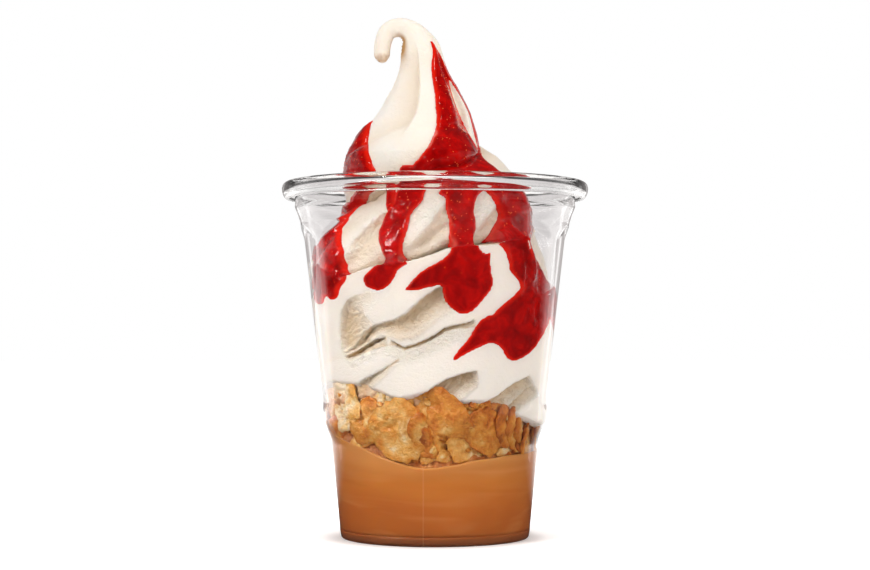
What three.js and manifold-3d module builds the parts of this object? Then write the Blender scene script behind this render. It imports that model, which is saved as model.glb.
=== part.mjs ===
// Ice cream sundae: a clear nine-panel dessert cup holding caramel, a crunchy
// flake layer and a tall twisted swirl of soft ice cream with strawberry sauce.
// Millimetres, +Z up, origin at the centre of the cup's foot. The front of the
// serving faces -Y, and angles run from the front (0) towards +X (90).
import * as THREE from "three";
import { mergeVertices } from "three/addons/utils/BufferGeometryUtils.js";
import Module from "manifold-3d";

const wasm = await Module();
wasm.setup();

// ---- driving dimensions -------------------------------------------------
const CUP_HEIGHT = 110;
const RIM_RADIUS = 47.5; // outside of the rolled lip
const BAND_RADIUS = 43.7; // stacking band under the lip
const WALL = 0.7;
const FOOT_OUTER = 28.4;
const FOOT_INNER = 26.0;
const FLOOR_Z = 3.0; // inside floor
const FLOOR_UNDER = 2.2; // recess under the floor
const LOWER_R0 = 29.15; // lower wall, at z = 1.2
const LOWER_R1 = 31.9; // lower wall, at the shoulder
const SHOULDER_Z0 = 28.5;
const SHOULDER_Z1 = 38.0;
const PANEL_R0 = 34.7; // panelled wall, at the shoulder's top
const PANEL_R1 = 41.7; // panelled wall, at its top
const PANEL_TOP = 97.0;
const PANELS = 9;
const PANEL_CORNER = 21.5; // angle of one panel corner
const PANEL_DEPTH = 0.62; // 1 is a true polygon, 0 is round
const CUP_SEGMENTS = 36;
const GAP = 0.45; // between the contents and the cup, and between layers

const SWIRL_PITCH = 24; // height of one coil
const SWIRL_SLOPE = 48 / 360; // rise per degree
const SWIRL_CREASE_Z = 88.4; // height of the main crease at the front
const LOBES = 5; // ridges of the extruded rope
const LOBE_TWIST = 1.25; // rope twist per degree round the cup
const COIL_ROWS = [0, 0.05, 0.16, 0.34, 0.54, 0.74, 0.88, 0.96]; // mesh rows in a coil
const COIL_TOP = 121; // highest row that climbs with the coils
const ICE_SEGMENTS = 40;
const TIP_Z = 145; // above this the swirl leans over into its curl

const SAUCE_THICK = 1.9;
const SAUCE_DENT = 2.0; // how far sauce at the wall presses the ice cream in

// ---- helpers --------------------------------------------------------------
const RAD = Math.PI / 180;
const clamp = (x, a, b) => Math.min(b, Math.max(a, x));
const lerp = (a, b, t) => a + (b - a) * t;
const smooth = (a, b, x) => {
  const t = clamp((x - a) / (b - a), 0, 1);
  return t * t * (3 - 2 * t);
};
const bell = (x, centre, width) => Math.exp(-(((x - centre) / width) ** 2));
const wrap = (deg) => ((((deg + 180) % 360) + 360) % 360) - 180;
function table(pairs, x) {
  if (x <= pairs[0][0]) return pairs[0][1];
  for (let i = 1; i < pairs.length; i++)
    if (x <= pairs[i][0])
      return lerp(
        pairs[i - 1][1],
        pairs[i][1],
        (x - pairs[i - 1][0]) / (pairs[i][0] - pairs[i - 1][0]),
      );
  return pairs[pairs.length - 1][1];
}

// ---- cup ------------------------------------------------------------------
// Rounded nine-sided outline as a factor of the radius.
function panelFactor(deg) {
  let sum = 0;
  for (let k = 0; k < PANELS; k++) {
    const c = Math.cos((deg - PANEL_CORNER - (360 / PANELS) * (k + 0.5)) * RAD);
    if (c > 0) sum += c ** 48;
  }
  return Math.cos(Math.PI / PANELS) * sum ** (-1 / 48);
}
const wallRadius = (z) =>
  z <= SHOULDER_Z0
    ? lerp(LOWER_R0, LOWER_R1, (z - 1.2) / (SHOULDER_Z0 - 1.2))
    : z <= SHOULDER_Z1
      ? lerp(LOWER_R1, PANEL_R0, smooth(SHOULDER_Z0, SHOULDER_Z1, z))
      : lerp(
          PANEL_R0,
          PANEL_R1,
          (z - SHOULDER_Z1) / (PANEL_TOP - SHOULDER_Z1),
        );
const panelShare = (z) =>
  PANEL_DEPTH *
  smooth(SHOULDER_Z1, SHOULDER_Z1 + 5, z) *
  (1 - smooth(PANEL_TOP - 4.5, PANEL_TOP, z));
const panelled = (deg, z) => 1 + panelShare(z) * (panelFactor(deg) - 0.985);
const insideRadius = (deg, z) => wallRadius(z) * panelled(deg, z) - WALL;

function cupGeometry() {
  const w = (z) => wallRadius(z);
  const outside = [
    [0, FLOOR_UNDER],
    [FOOT_INNER - 1.2, FLOOR_UNDER],
    [FOOT_INNER, 0],
    [FOOT_OUTER, 0],
    [LOWER_R0, 1.2],
    [w(SHOULDER_Z0), SHOULDER_Z0],
    [w(31.5), 31.5],
    [w(34.5), 34.5],
    [w(SHOULDER_Z1), SHOULDER_Z1],
    [w(43), 43],
    [w(92.5), 92.5],
    [w(PANEL_TOP), PANEL_TOP],
    [42.9, 100.6],
    [43.35, 102.6],
    [BAND_RADIUS, 107.2],
  ];
  const lip = [
    [44.5, 108.7],
    [46.1, 108.3],
    [46.25, 106.3],
    [45.3, 105.3],
    [45.5, 104.6],
    [46.9, 105.6],
    [RIM_RADIUS, 107.5],
    [46.8, 109.2],
    [45.2, CUP_HEIGHT],
    [43.7, 109.6],
  ];
  const inside = [
    [BAND_RADIUS - WALL, 107.3],
    [43.35 - WALL, 102.8],
    [42.9 - WALL, 100.9],
    [w(PANEL_TOP) - WALL, PANEL_TOP + 0.3],
    [w(92.5) - WALL, 92.5],
    [w(43) - WALL, 43],
    [w(SHOULDER_Z1) - WALL, SHOULDER_Z1],
    [w(34.5) - WALL, 34.5],
    [w(31.5) - WALL, 31.5],
    [w(SHOULDER_Z0) - WALL, SHOULDER_Z0],
    [w(4) - WALL, 4.2],
    [w(3) - 1.9, FLOOR_Z],
    [0, FLOOR_Z],
  ];
  const profile = [...outside, ...lip, ...inside].map(
    ([r, z]) => new THREE.Vector2(r, z),
  );
  const g = new THREE.LatheGeometry(profile, CUP_SEGMENTS);
  const p = g.attributes.position;
  for (let i = 0; i < p.count; i++) {
    // the lathe turns round Y; stand it up, and start it on a panel corner
    const x = p.getX(i),
      z = p.getY(i),
      y = p.getZ(i);
    const r = Math.hypot(x, y);
    const column = (Math.round((Math.atan2(x, y) / RAD / 360) * CUP_SEGMENTS) /
      CUP_SEGMENTS) * 360;
    const deg = column + PANEL_CORNER;
    const wallZ = clamp(z, 0, CUP_HEIGHT);
    const inPanels = r > 30 ? panelled(deg, wallZ) : 1;
    const rr = r * inPanels;
    p.setXYZ(i, rr * Math.sin(deg * RAD), -rr * Math.cos(deg * RAD), z);
  }
  return g;
}

// ---- layer surfaces ---------------------------------------------------------
// Height of the caramel's top, and of the ice cream's underside, at an angle
// and at a share of the way out to the wall.
const caramelTop = (deg, share) => {
  const a = wrap(deg);
  const rim =
    27.5 -
    4.4 * bell(a, 0, 30) +
    6 * bell(a, -72, 30) +
    1.8 * Math.cos((a - 150) * 2 * RAD) * smooth(80, 130, Math.abs(a));
  return lerp(27, rim, share ** 2);
};
const iceBottom = (deg, share) => {
  const a = wrap(deg);
  const rim =
    42 +
    3.2 * Math.cos((a + 50) * RAD) -
    6 * bell(a, 65, 25) -
    2 * bell(a, -5, 12) +
    1.6 * Math.sin(a * 3 * RAD) * smooth(80, 130, Math.abs(a));
  return lerp(43, rim, share ** 2);
};

// ---- strawberry sauce -----------------------------------------------------------
// Each run: [angle, station, half width in mm] along its way down the swirl.
const RUNS = {
  tipFront: [
    [55, 150, 1.2],
    [48, 143, 4.5],
    [46, 133, 7.5],
    [44, 124, 12.5],
    [38, 115, 17],
    [30, 108, 15],
  ],
  tipRight: [
    [98, 146, 0.8],
    [102, 134, 2],
    [105, 122, 3.5],
    [96, 112, 7],
  ],
  tipLeft: [
    [-88, 129, 1],
    [-84, 122, 5],
    [-80, 114, 8],
    [-66, 107, 7],
    [-58, 102, 4.5],
  ],
  collar: [
    [-60, 106, 3.6],
    [-30, 105.5, 4.4],
    [0, 105, 4.2],
    [30, 106, 5],
    [62, 104, 6],
  ],
  left: [
    [-62, 103, 3],
    [-70, 96, 2.6],
    [-72, 89, 4.2],
    [-64, 81, 5],
    [-66, 73.5, 3.4],
  ],
  middleLeft: [
    [-22, 104, 4.6],
    [-24, 96, 4.6],
    [-26, 88, 4.2],
    [-30, 83, 4.6],
    [-35, 78, 4.2],
  ],
  middle: [
    [17, 104, 4.6],
    [18, 96, 4.2],
    [18, 89, 4.6],
    [16, 82, 7.5],
    [13, 76, 7],
    [12, 72, 5],
  ],
  middleWing: [
    [14, 83, 4],
    [3, 81, 4],
    [-11, 77, 2],
  ],
  right: [
    [60, 104, 6],
    [62, 95, 5.4],
    [56, 86, 5],
    [58, 78, 6.5],
    [56, 69, 9],
    [46, 63, 8],
    [42, 58, 5],
  ],
  rightWing: [
    [40, 66, 6],
    [24, 60, 3.4],
    [11, 57, 1.2],
  ],
  rightEdge: [
    [64, 76, 5],
    [78, 70, 3.6],
    [86, 66, 2.2],
  ],
};
// 1 under the middle of a run, falling to 0 a little past its edge.
function sauceShare(deg, station) {
  let most = 0;
  for (const path of Object.values(RUNS))
    for (let i = 1; i < path.length; i++) {
      const [a0, b0, w0] = path[i - 1],
        [a1, b1, w1] = path[i];
      const mm = 36 * RAD;
      const ux = (a1 - a0) * mm,
        uz = b1 - b0,
        px = wrap(deg - a0) * mm,
        pz = station - b0;
      const t = clamp((px * ux + pz * uz) / (ux * ux + uz * uz), 0, 1);
      const d = Math.hypot(px - ux * t, pz - uz * t) - lerp(w0, w1, t);
      most = Math.max(most, 1 - smooth(-1.5, 2.5, d));
    }
  return most;
}

// ---- ice cream ---------------------------------------------------------------
// Largest reach of the coils at a height, leaning towards the left side.
const coilReach = (deg, z) =>
  table(
    [
      [30, 36],
      [45, 37.5],
      [60, 39],
      [72, 39.2],
      [80, 37],
      [88, 34.6],
      [95, 31.6],
      [105, 29.4],
      [112, 28],
      [118, 25.5],
      [124, 19],
      [132, 10],
    ],
    z,
  ) -
  Math.sin(deg * RAD) *
    table(
      [
        [60, 0],
        [75, 1.5],
        [88, 3.2],
        [95, 1.2],
        [105, -0.8],
        [118, 0],
      ],
      z,
    );
function coilRadius(deg, z) {
  const turn = (z - SWIRL_CREASE_Z - SWIRL_SLOPE * deg) / SWIRL_PITCH;
  const coil = Math.floor(turn);
  const across = 2 * (turn - coil) - 1;
  const bulge = Math.sqrt(Math.max(0, 1 - Math.abs(across) ** 2.4));
  const around =
    Math.asin(across) / RAD - LOBE_TWIST * deg - 225 * coil + 10;
  const groove = 1 - Math.abs(Math.cos((LOBES / 2) * around * RAD)) ** 0.85;
  const depth = lerp(5, 8, smooth(50, 90, z));
  return coilReach(deg, z) - depth * (1 - bulge) - 2.6 * bulge * groove;
}
const coneRadius = (deg, z) => {
  const r = table(
    [
      [100, 22.5],
      [113.7, 21.5],
      [120, 19.6],
      [123, 18.6],
      [126, 17],
      [129, 15.4],
      [132, 13.9],
      [135.5, 12.1],
      [138.5, 10.4],
      [141.5, 8.8],
      [144.7, 7.4],
      [148, 6.6],
      [151.5, 6],
      [154, 5],
      [157, 3.9],
      [160, 3.1],
      [164, 2.7],
      [170, 2.45],
      [176, 2.2],
    ],
    z,
  );
  const twist = -4 - 40 * Math.exp(-(z - 108) / 7);
  const groove =
    1 - Math.abs(Math.cos((LOBES / 2) * (deg - twist + 36) * RAD)) ** 0.9;
  return r * (1 - 0.13 * groove * (1 - smooth(140, 158, z)));
};
const bodyCentre = (z) =>
  table(
    [
      [104, 0],
      [113, -4.6],
      [119, -6],
      [126, -4.8],
      [132, -3.5],
      [138.5, -3.25],
      [TIP_Z, -3.7],
    ],
    z,
  );
const curl = new THREE.CatmullRomCurve3(
  [
    [-3.7, TIP_Z],
    [-4.3, 149],
    [-5.4, 152.7],
    [-7.2, 156],
    [-9.6, 158.3],
    [-12.2, 158.7],
    [-14.7, 157],
    [-16.1, 154.2],
    [-16.6, 151.2],
    [-16.5, 149],
  ].map(([x, z]) => new THREE.Vector3(x, 0, z)),
);
const CURL_LENGTH = curl.getLength();
const STATION_END = TIP_Z + CURL_LENGTH;

const reach = (deg, z) =>
  Math.max(coneRadius(deg, z), z < 134 ? coilRadius(wrap(deg), z) : 0);

// A point of the ice cream's skin, or off it by `out`, at an angle and a
// station: a height below TIP_Z, and beyond it the way along the curl.
function skin(deg, station, out = 0, held = false) {
  const flat = station <= TIP_Z;
  const c = flat
    ? new THREE.Vector3(bodyCentre(station), 0, station)
    : curl.getPointAt(clamp((station - TIP_Z) / CURL_LENGTH, 0, 1));
  const t = flat
    ? new THREE.Vector3(0, 0, 1)
    : curl.getTangentAt(clamp((station - TIP_Z) / CURL_LENGTH, 0, 1));
  const lean = smooth(TIP_Z, TIP_Z + 6, station);
  t.set(t.x * lean, 0, lerp(1, t.z, lean)).normalize();
  let r = reach(deg, station);
  r *= Math.sqrt(clamp((STATION_END + 0.4 - station) / 2.4, 0, 1));
  if (station < 106) {
    // the cup holds the coils back, and they give way under the sauce
    const room = insideRadius(deg, station) - GAP;
    r = Math.min(r, room - SAUCE_DENT * sauceShare(deg, station));
    r = held ? Math.min(r + out, room) : r + out;
  } else r += out;
  return new THREE.Vector3(
    c.x + r * Math.sin(deg * RAD) * t.z,
    c.y - r * Math.cos(deg * RAD),
    c.z - r * Math.sin(deg * RAD) * t.x,
  );
}

// Closed skin of revolution over rows of points, made by reshaping a lathe.
function reshapedLathe(rows, segments, place) {
  const line = rows.map(
    (_, i) =>
      new THREE.Vector2(
        i === 0 || i === rows.length - 1 ? 0 : 1,
        i / (rows.length - 1),
      ),
  );
  const g = new THREE.LatheGeometry(line, segments);
  const p = g.attributes.position;
  for (let i = 0; i < p.count; i++) {
    const row = rows[i % rows.length];
    const column = Math.floor(i / rows.length);
    const v = place((column / segments) * 360 - 180, row);
    p.setXYZ(i, v.x, v.y, v.z);
  }
  return g;
}

// The rows of the coils climb with the creases, so both ends of a row meet the
// ends of other rows, one whole turn apart, and are held between the bottom of
// the ice cream and COIL_TOP.
function iceRows() {
  const rows = [];
  rows.push({ kind: "under", share: 0 });
  rows.push({ kind: "under", share: 0.6 });
  const turns = Math.ceil((COIL_TOP - 36 + SWIRL_SLOPE * 360) / SWIRL_PITCH);
  const first = Math.floor((36 - SWIRL_CREASE_Z - SWIRL_SLOPE * 180) / SWIRL_PITCH);
  for (let k = first; k <= first + turns + 1; k++)
    for (const phase of COIL_ROWS)
      rows.push({
        kind: "side",
        front: SWIRL_CREASE_Z + (k + phase) * SWIRL_PITCH,
      });
  for (const z of [
    124, 127, 130.5, 134, 138, 142, 145, 148, 150.5, 153, 155.5, 158, 160.5,
    163, 165.5, 168,
  ])
    if (z < STATION_END - 1) rows.push({ kind: "station", at: z });
  rows.push({ kind: "station", at: STATION_END - 0.6 });
  rows.push({ kind: "pole", at: STATION_END });
  return rows;
}
function placeIce(deg, row, out = 0) {
  if (row.kind === "under") {
    const z = iceBottom(deg, row.share) + GAP / 2 - out;
    const r = row.share * (insideRadius(deg, z) - GAP);
    return new THREE.Vector3(
      r * Math.sin(deg * RAD),
      -r * Math.cos(deg * RAD),
      z,
    );
  }
  if (row.kind === "side") {
    const low = iceBottom(deg, 1) + GAP / 2;
    const z = clamp(row.front + SWIRL_SLOPE * deg, low, COIL_TOP);
    return skin(deg, z, out);
  }
  if (row.kind === "pole") {
    const end = curl.getPointAt(1);
    return new THREE.Vector3(end.x, end.y, end.z - 0.3 - out);
  }
  return skin(deg, row.at, out);
}
const iceGeometry = (out, segments) =>
  reshapedLathe(iceRows(), segments, (deg, row) =>
    placeIce(deg, row, out),
  );

// ---- caramel and flakes -------------------------------------------------------
function caramelGeometry() {
  const rows = [
    { z: 0, share: 0 },
    { z: 0, share: 0.96 },
    { z: 0.03, share: 1 },
    { z: 0.5, share: 1 },
    { z: 0.8, share: 1 },
    { z: 1, share: 1 },
    { z: 1, share: 0.66 },
    { z: 1, share: 0.33 },
    { z: 1, share: 0 },
  ];
  return reshapedLathe(rows, CUP_SEGMENTS, (deg0, row) => {
    const deg = deg0 + PANEL_CORNER;
    const z = lerp(FLOOR_Z + GAP, caramelTop(deg, row.share), row.z);
    const r =
      row.share * (insideRadius(deg, Math.max(z, 4.2)) - GAP) -
      (row.z < 0.02 && row.share > 0.9 ? 1.2 : 0);
    return new THREE.Vector3(
      r * Math.sin(deg * RAD),
      -r * Math.cos(deg * RAD),
      z,
    );
  });
}
// The crunch layer follows the caramel below and the ice cream above, and its
// side is uneven where single flakes stop short of the wall.
function flakesGeometry() {
  const rows = [
    { z: 0, share: 0 },
    { z: 0, share: 0.45 },
    { z: 0, share: 0.8 },
    { z: 0, share: 1 },
    { z: 0.3, share: 1 },
    { z: 0.65, share: 1 },
    { z: 1, share: 1 },
    { z: 1, share: 0.8 },
    { z: 1, share: 0.45 },
    { z: 1, share: 0 },
  ];
  return reshapedLathe(rows, CUP_SEGMENTS, (deg0, row) => {
    const deg = deg0 + PANEL_CORNER;
    const low = caramelTop(deg, row.share) + GAP;
    const high = iceBottom(deg, row.share) - GAP;
    const z = lerp(low, high, row.z);
    const notch =
      row.share === 1 && row.z > 0 && row.z < 1
        ? 0.9 *
          (1 + Math.sin(deg * 7 * RAD + row.z * 9) * Math.cos(deg * 4 * RAD))
        : 0;
    const r = row.share * (insideRadius(deg, z) - GAP) - notch;
    return new THREE.Vector3(
      r * Math.sin(deg * RAD),
      -r * Math.cos(deg * RAD),
      z,
    );
  });
}

function runGeometry(path) {
  const along = Math.max(5, (path.length - 1) * 2);
  const g = new THREE.CylinderGeometry(1, 1, 1, 8, along, false);
  const p = g.attributes.position;
  const at = (s, k) => {
    const x = clamp(s, 0, 1) * (path.length - 1);
    const i = Math.min(path.length - 2, Math.floor(x));
    return lerp(path[i][k], path[i + 1][k], x - i);
  };
  for (let i = 0; i < p.count; i++) {
    const s = 0.5 - p.getY(i); // the cylinder runs from +0.5 down to -0.5
    const side = p.getX(i),
      up = p.getZ(i);
    const a = at(s, 0),
      b = at(s, 1),
      w = at(s, 2) * (0.55 + 0.45 * Math.sqrt(clamp(Math.min(s, 1 - s) * 8, 0, 1)));
    const r = Math.max(6, reach(a, b));
    // direction of travel on the unrolled skin
    const da = (at(s + 0.05, 0) - at(s - 0.05, 0)) * RAD * r,
      db = at(s + 0.05, 1) - at(s - 0.05, 1);
    const l = Math.hypot(da, db) || 1;
    const deg = a - (side * w * db) / l / r / RAD,
      station = b + (side * w * da) / l;
    // sauce bridges the creases instead of following them down
    let rise = 0;
    if (up > 0 && station < 128)
      for (const dz of [-3, -1.5, 1.5, 3])
        rise = Math.max(rise, reach(deg, station + dz) - reach(deg, station));
    const v = skin(
      deg,
      station,
      up > 0 ? GAP + SAUCE_THICK * up + Math.min(rise, 4) : 1.4 * up,
      true,
    );
    p.setXYZ(i, v.x, v.y, v.z);
  }
  return g;
}

// ---- solids ---------------------------------------------------------------------
function solid(geometry) {
  const g = geometry.clone();
  g.deleteAttribute("normal");
  g.deleteAttribute("uv");
  const m = mergeVertices(g, 1e-3);
  const all = m.index.array;
  const kept = [];
  for (let i = 0; i < all.length; i += 3) {
    const [a, b, c] = [all[i], all[i + 1], all[i + 2]];
    if (a !== b && b !== c && c !== a) kept.push([a, b, c]);
  }
  const build = (turned) =>
    new wasm.Manifold(
      new wasm.Mesh({
        numProp: 3,
        vertProperties: new Float32Array(m.attributes.position.array),
        triVerts: new Uint32Array(
          kept.flatMap(([a, b, c]) => (turned ? [a, c, b] : [a, b, c])),
        ),
      }),
    );
  const made = build(false);
  return made.volume() < 0 ? build(true) : made;
}
function geometryOf(made) {
  const m = made.getMesh();
  const v = new Float32Array(m.numVert * 3);
  for (let i = 0; i < m.numVert; i++)
    for (let k = 0; k < 3; k++)
      v[i * 3 + k] = m.vertProperties[i * m.numProp + k];
  const g = new THREE.BufferGeometry();
  g.setAttribute("position", new THREE.BufferAttribute(v, 3));
  g.setIndex(new THREE.BufferAttribute(new Uint32Array(m.triVerts), 1));
  g.computeVertexNormals();
  return g;
}
const largest = (made) =>
  made.decompose().sort((a, b) => b.volume() - a.volume())[0];

function sauceSolid() {
  let sauce = null;
  for (const path of Object.values(RUNS)) {
    const run = solid(runGeometry(path));
    sauce = sauce ? sauce.add(run) : run;
  }
  sauce = sauce.subtract(solid(iceGeometry(0.3, ICE_SEGMENTS)));
  return largest(sauce);
}


const group = new THREE.Group();
function add(name, made, color, roughness, extra = {}) {
  const mesh = new THREE.Mesh(
    geometryOf(made),
    new THREE.MeshStandardMaterial({ color, roughness, metalness: 0, ...extra }),
  );
  mesh.name = name;
  group.add(mesh);
}
add("cup", solid(cupGeometry()), 0xf4f6f6, 0.05, {
  transparent: true,
  opacity: 0.3,
});
add("caramel", solid(caramelGeometry()), 0xb8692f, 0.3);
add("flakes", solid(flakesGeometry()), 0xd9a55b, 0.7);
add("ice_cream", solid(iceGeometry(0, ICE_SEGMENTS)), 0xf6ecdc, 0.55);
add("strawberry_sauce", sauceSolid(), 0xb00508, 0.12);

export default group;
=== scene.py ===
"""Looks of the ice cream sundae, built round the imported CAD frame.

Lengths in the geometry code are millimetres and are turned into metres when a mesh is made.
Angles run round the cup from the front (-Y, 0 degrees) towards +X (90 degrees).
"Front elevation" means the flat outline seen from straight in front at the cup's axis.
"""
import math

import bpy
import numpy as np
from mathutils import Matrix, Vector


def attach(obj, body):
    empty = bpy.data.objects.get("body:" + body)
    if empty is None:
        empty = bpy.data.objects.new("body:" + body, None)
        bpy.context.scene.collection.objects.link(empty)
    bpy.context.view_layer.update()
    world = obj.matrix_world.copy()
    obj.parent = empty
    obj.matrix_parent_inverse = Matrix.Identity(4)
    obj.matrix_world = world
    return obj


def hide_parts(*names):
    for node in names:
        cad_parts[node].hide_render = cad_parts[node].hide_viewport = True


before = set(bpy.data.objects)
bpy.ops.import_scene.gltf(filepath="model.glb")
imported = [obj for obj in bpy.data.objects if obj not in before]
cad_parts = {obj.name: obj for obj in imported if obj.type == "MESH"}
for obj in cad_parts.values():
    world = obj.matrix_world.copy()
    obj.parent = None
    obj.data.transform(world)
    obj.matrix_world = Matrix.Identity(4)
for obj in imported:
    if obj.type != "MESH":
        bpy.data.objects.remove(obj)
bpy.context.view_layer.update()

MM = 0.001
RAD = math.pi / 180

# ---------------------------------------------------------------- dimensions
CUP_HEIGHT = 110.0
RIM_RADIUS = 47.5
BAND_RADIUS = 43.7
WALL = 0.7
FOOT_OUTER, FOOT_INNER = 28.4, 26.0
FLOOR_Z, FLOOR_UNDER = 3.0, 2.2
LOWER_R0, LOWER_R1 = 29.15, 31.9
SHOULDER_Z0, SHOULDER_Z1 = 28.5, 38.0
PANEL_R0, PANEL_R1, PANEL_TOP = 34.7, 41.7, 97.0
PANELS, PANEL_CORNER, PANEL_DEPTH = 9, 21.5, 0.62
INTO_WALL = 0.13  # contents reach this far into the wall, so no air shows
TIP_Z = 145.0
VIEW_DISTANCE, VIEW_HEIGHT = 594.0, 65.0

# outlines in the front elevation: (across, height) in mm
SAUCE = {
    "left_drip": [(-25.4, 116.0), (-19.2, 116.0), (-17.6, 110.7), (-17.1, 109.4), (-17.9, 108.1), (-19.9, 106.5), (-22.2, 104.5), (-23.8, 102.6), (-26.7, 99.0), (-28.7, 95.7), (-29.0, 91.1), (-27.9, 88.5), (-28.0, 84.6), (-27.1, 81.3), (-27.4, 79.4), (-29.2, 77.4), (-29.9, 74.1), (-31.6, 73.1), (-33.1, 74.1), (-33.6, 74.8), (-34.1, 72.5), (-35.6, 71.8), (-36.7, 72.5), (-37.3, 75.4), (-37.5, 80.7), (-37.4, 85.9), (-36.7, 91.1), (-35.2, 93.7), (-32.3, 96.3), (-30.2, 99.1), (-28.4, 102.2), (-26.7, 104.2), (-25.1, 105.8), (-23.5, 108.1), (-23.1, 110.4)],
    "bridge": [(-19.9, 110.1), (-14.6, 110.1), (-12.7, 109.4), (-12.0, 107.8), (-12.2, 104.2), (-12.0, 101.6), (-14.9, 100.9), (-15.1, 104.2), (-14.9, 107.1), (-15.6, 108.2), (-17.6, 108.1), (-19.9, 106.5)],
    "middle_left_drip": [(-9.4, 116.0), (-1.6, 114.0), (-2.5, 110.7), (-3.2, 109.4), (-2.5, 108.1), (-3.2, 106.8), (-3.9, 104.2), (-5.5, 102.6), (-7.6, 100.3), (-8.1, 97.0), (-9.1, 93.7), (-10.1, 90.5), (-10.2, 87.8), (-9.4, 85.9), (-8.4, 84.7), (-9.4, 84.1), (-11.4, 82.9), (-12.0, 81.3), (-13.3, 79.0), (-15.0, 77.1), (-17.3, 76.2), (-19.9, 76.7), (-21.8, 78.0), (-22.3, 80.0), (-21.5, 81.6), (-18.6, 83.9), (-16.3, 85.9), (-16.1, 87.8), (-16.9, 90.5), (-17.6, 93.1), (-16.6, 97.0), (-14.8, 100.9), (-12.7, 103.5), (-11.8, 106.8), (-10.7, 110.7), (-11.4, 114.0)],
    "middle_drip": [(-1.6, 116.0), (14.8, 116.0), (15.4, 107.5), (13.5, 106.5), (12.3, 104.2), (11.8, 100.9), (12.5, 97.7), (13.1, 94.4), (13.1, 91.1), (14.4, 88.5), (16.1, 87.8), (17.4, 88.5), (17.1, 85.9), (17.4, 82.0), (18.4, 78.0), (15.4, 74.1), (12.2, 70.2), (9.5, 68.9), (6.3, 69.5), (3.7, 72.2), (2.4, 74.8), (2.5, 77.7), (0.4, 77.9), (-2.9, 77.1), (-6.1, 76.2), (-9.4, 76.4), (-9.1, 77.1), (-6.8, 80.0), (-4.2, 82.6), (-0.3, 84.6), (3.0, 86.5), (4.8, 88.5), (5.0, 91.1), (4.3, 93.7), (4.6, 97.7), (3.7, 100.3), (3.3, 102.9), (3.3, 105.2), (2.0, 105.8), (1.0, 106.8), (2.7, 109.4), (1.0, 110.7)],
    "right_drip": [(12.8, 116.0), (21.3, 113.3), (23.9, 110.1), (26.5, 108.1), (27.8, 105.8), (29.5, 102.2), (30.5, 97.7), (30.1, 95.0), (28.8, 91.8), (29.5, 89.2), (31.1, 85.9), (32.7, 82.6), (33.7, 80.0), (36.0, 78.0), (37.6, 74.8), (39.0, 71.5), (33.7, 67.6), (27.2, 67.6), (26.5, 78.0), (25.2, 80.0), (22.9, 82.6), (22.6, 85.9), (21.3, 89.2), (19.6, 90.6), (18.6, 92.2), (18.4, 94.4), (18.9, 96.4), (19.8, 98.3), (20.0, 100.3), (18.7, 103.5), (17.4, 105.5), (16.4, 106.5), (15.4, 107.5), (11.5, 107.5), (11.5, 113.3)],
    "pool": [(25.7, 79.2), (34.0, 79.4), (37.0, 76.5), (38.9, 71.7), (38.5, 67.0), (37.9, 61.7), (36.5, 62.8), (35.7, 65.8), (35.2, 67.9), (34.6, 65.2), (32.8, 61.6), (31.0, 58.7), (28.6, 56.3), (24.5, 54.2), (22.4, 55.1), (21.2, 56.9), (20.6, 58.4), (18.5, 59.8), (16.8, 60.1), (14.4, 59.0), (11.4, 57.5), (8.4, 56.0), (5.8, 54.4), (5.5, 55.4), (7.3, 58.1), (10.2, 61.0), (12.0, 64.6), (14.4, 67.6), (16.8, 68.8), (17.9, 68.8), (19.7, 71.1), (22.7, 73.5), (25.1, 75.6), (26.6, 77.7)],
    "main_stream": [(-1.7, 154.5), (-0.3, 153.3), (1.4, 150.6), (2.4, 148.2), (3.9, 145.0), (6.1, 140.5), (8.8, 136.8), (10.8, 133.4), (11.8, 129.7), (12.8, 126.3), (13.8, 123.6), (14.4, 120.9), (14.3, 118.6), (15.9, 116.6), (17.1, 115.9), (19.9, 113.5), (21.9, 109.5), (-2.3, 108.1), (-11.1, 109.5), (-8.4, 113.7), (-5.7, 116.9), (-3.0, 119.9), (-1.0, 123.3), (0.2, 126.3), (0.6, 129.7), (0.2, 133.1), (0.0, 137.1), (-0.6, 141.1), (-1.1, 143.8), (-1.2, 146.9), (-0.8, 148.9), (-0.6, 150.9), (-1.1, 152.9)],
    "left_lobe": [(-19.0, 129.6), (-19.8, 128.3), (-20.3, 126.3), (-20.8, 123.0), (-20.7, 119.6), (-19.8, 116.9), (-19.1, 114.5), (-18.1, 110.8), (-17.8, 108.1), (-27.6, 108.1), (-28.6, 113.5), (-28.6, 117.9), (-26.9, 121.3), (-22.5, 127.0)],
}
BARE = {
    "sliver": [(4.3, 142.3), (5.6, 140.1), (7.5, 137.4), (9.3, 134.1), (10.7, 131.0), (11.6, 127.3), (12.5, 123.6), (13.4, 120.4), (12.7, 121.6), (11.2, 124.1), (9.1, 128.0), (7.3, 132.0), (5.9, 135.7), (4.8, 139.4)],
}
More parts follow.
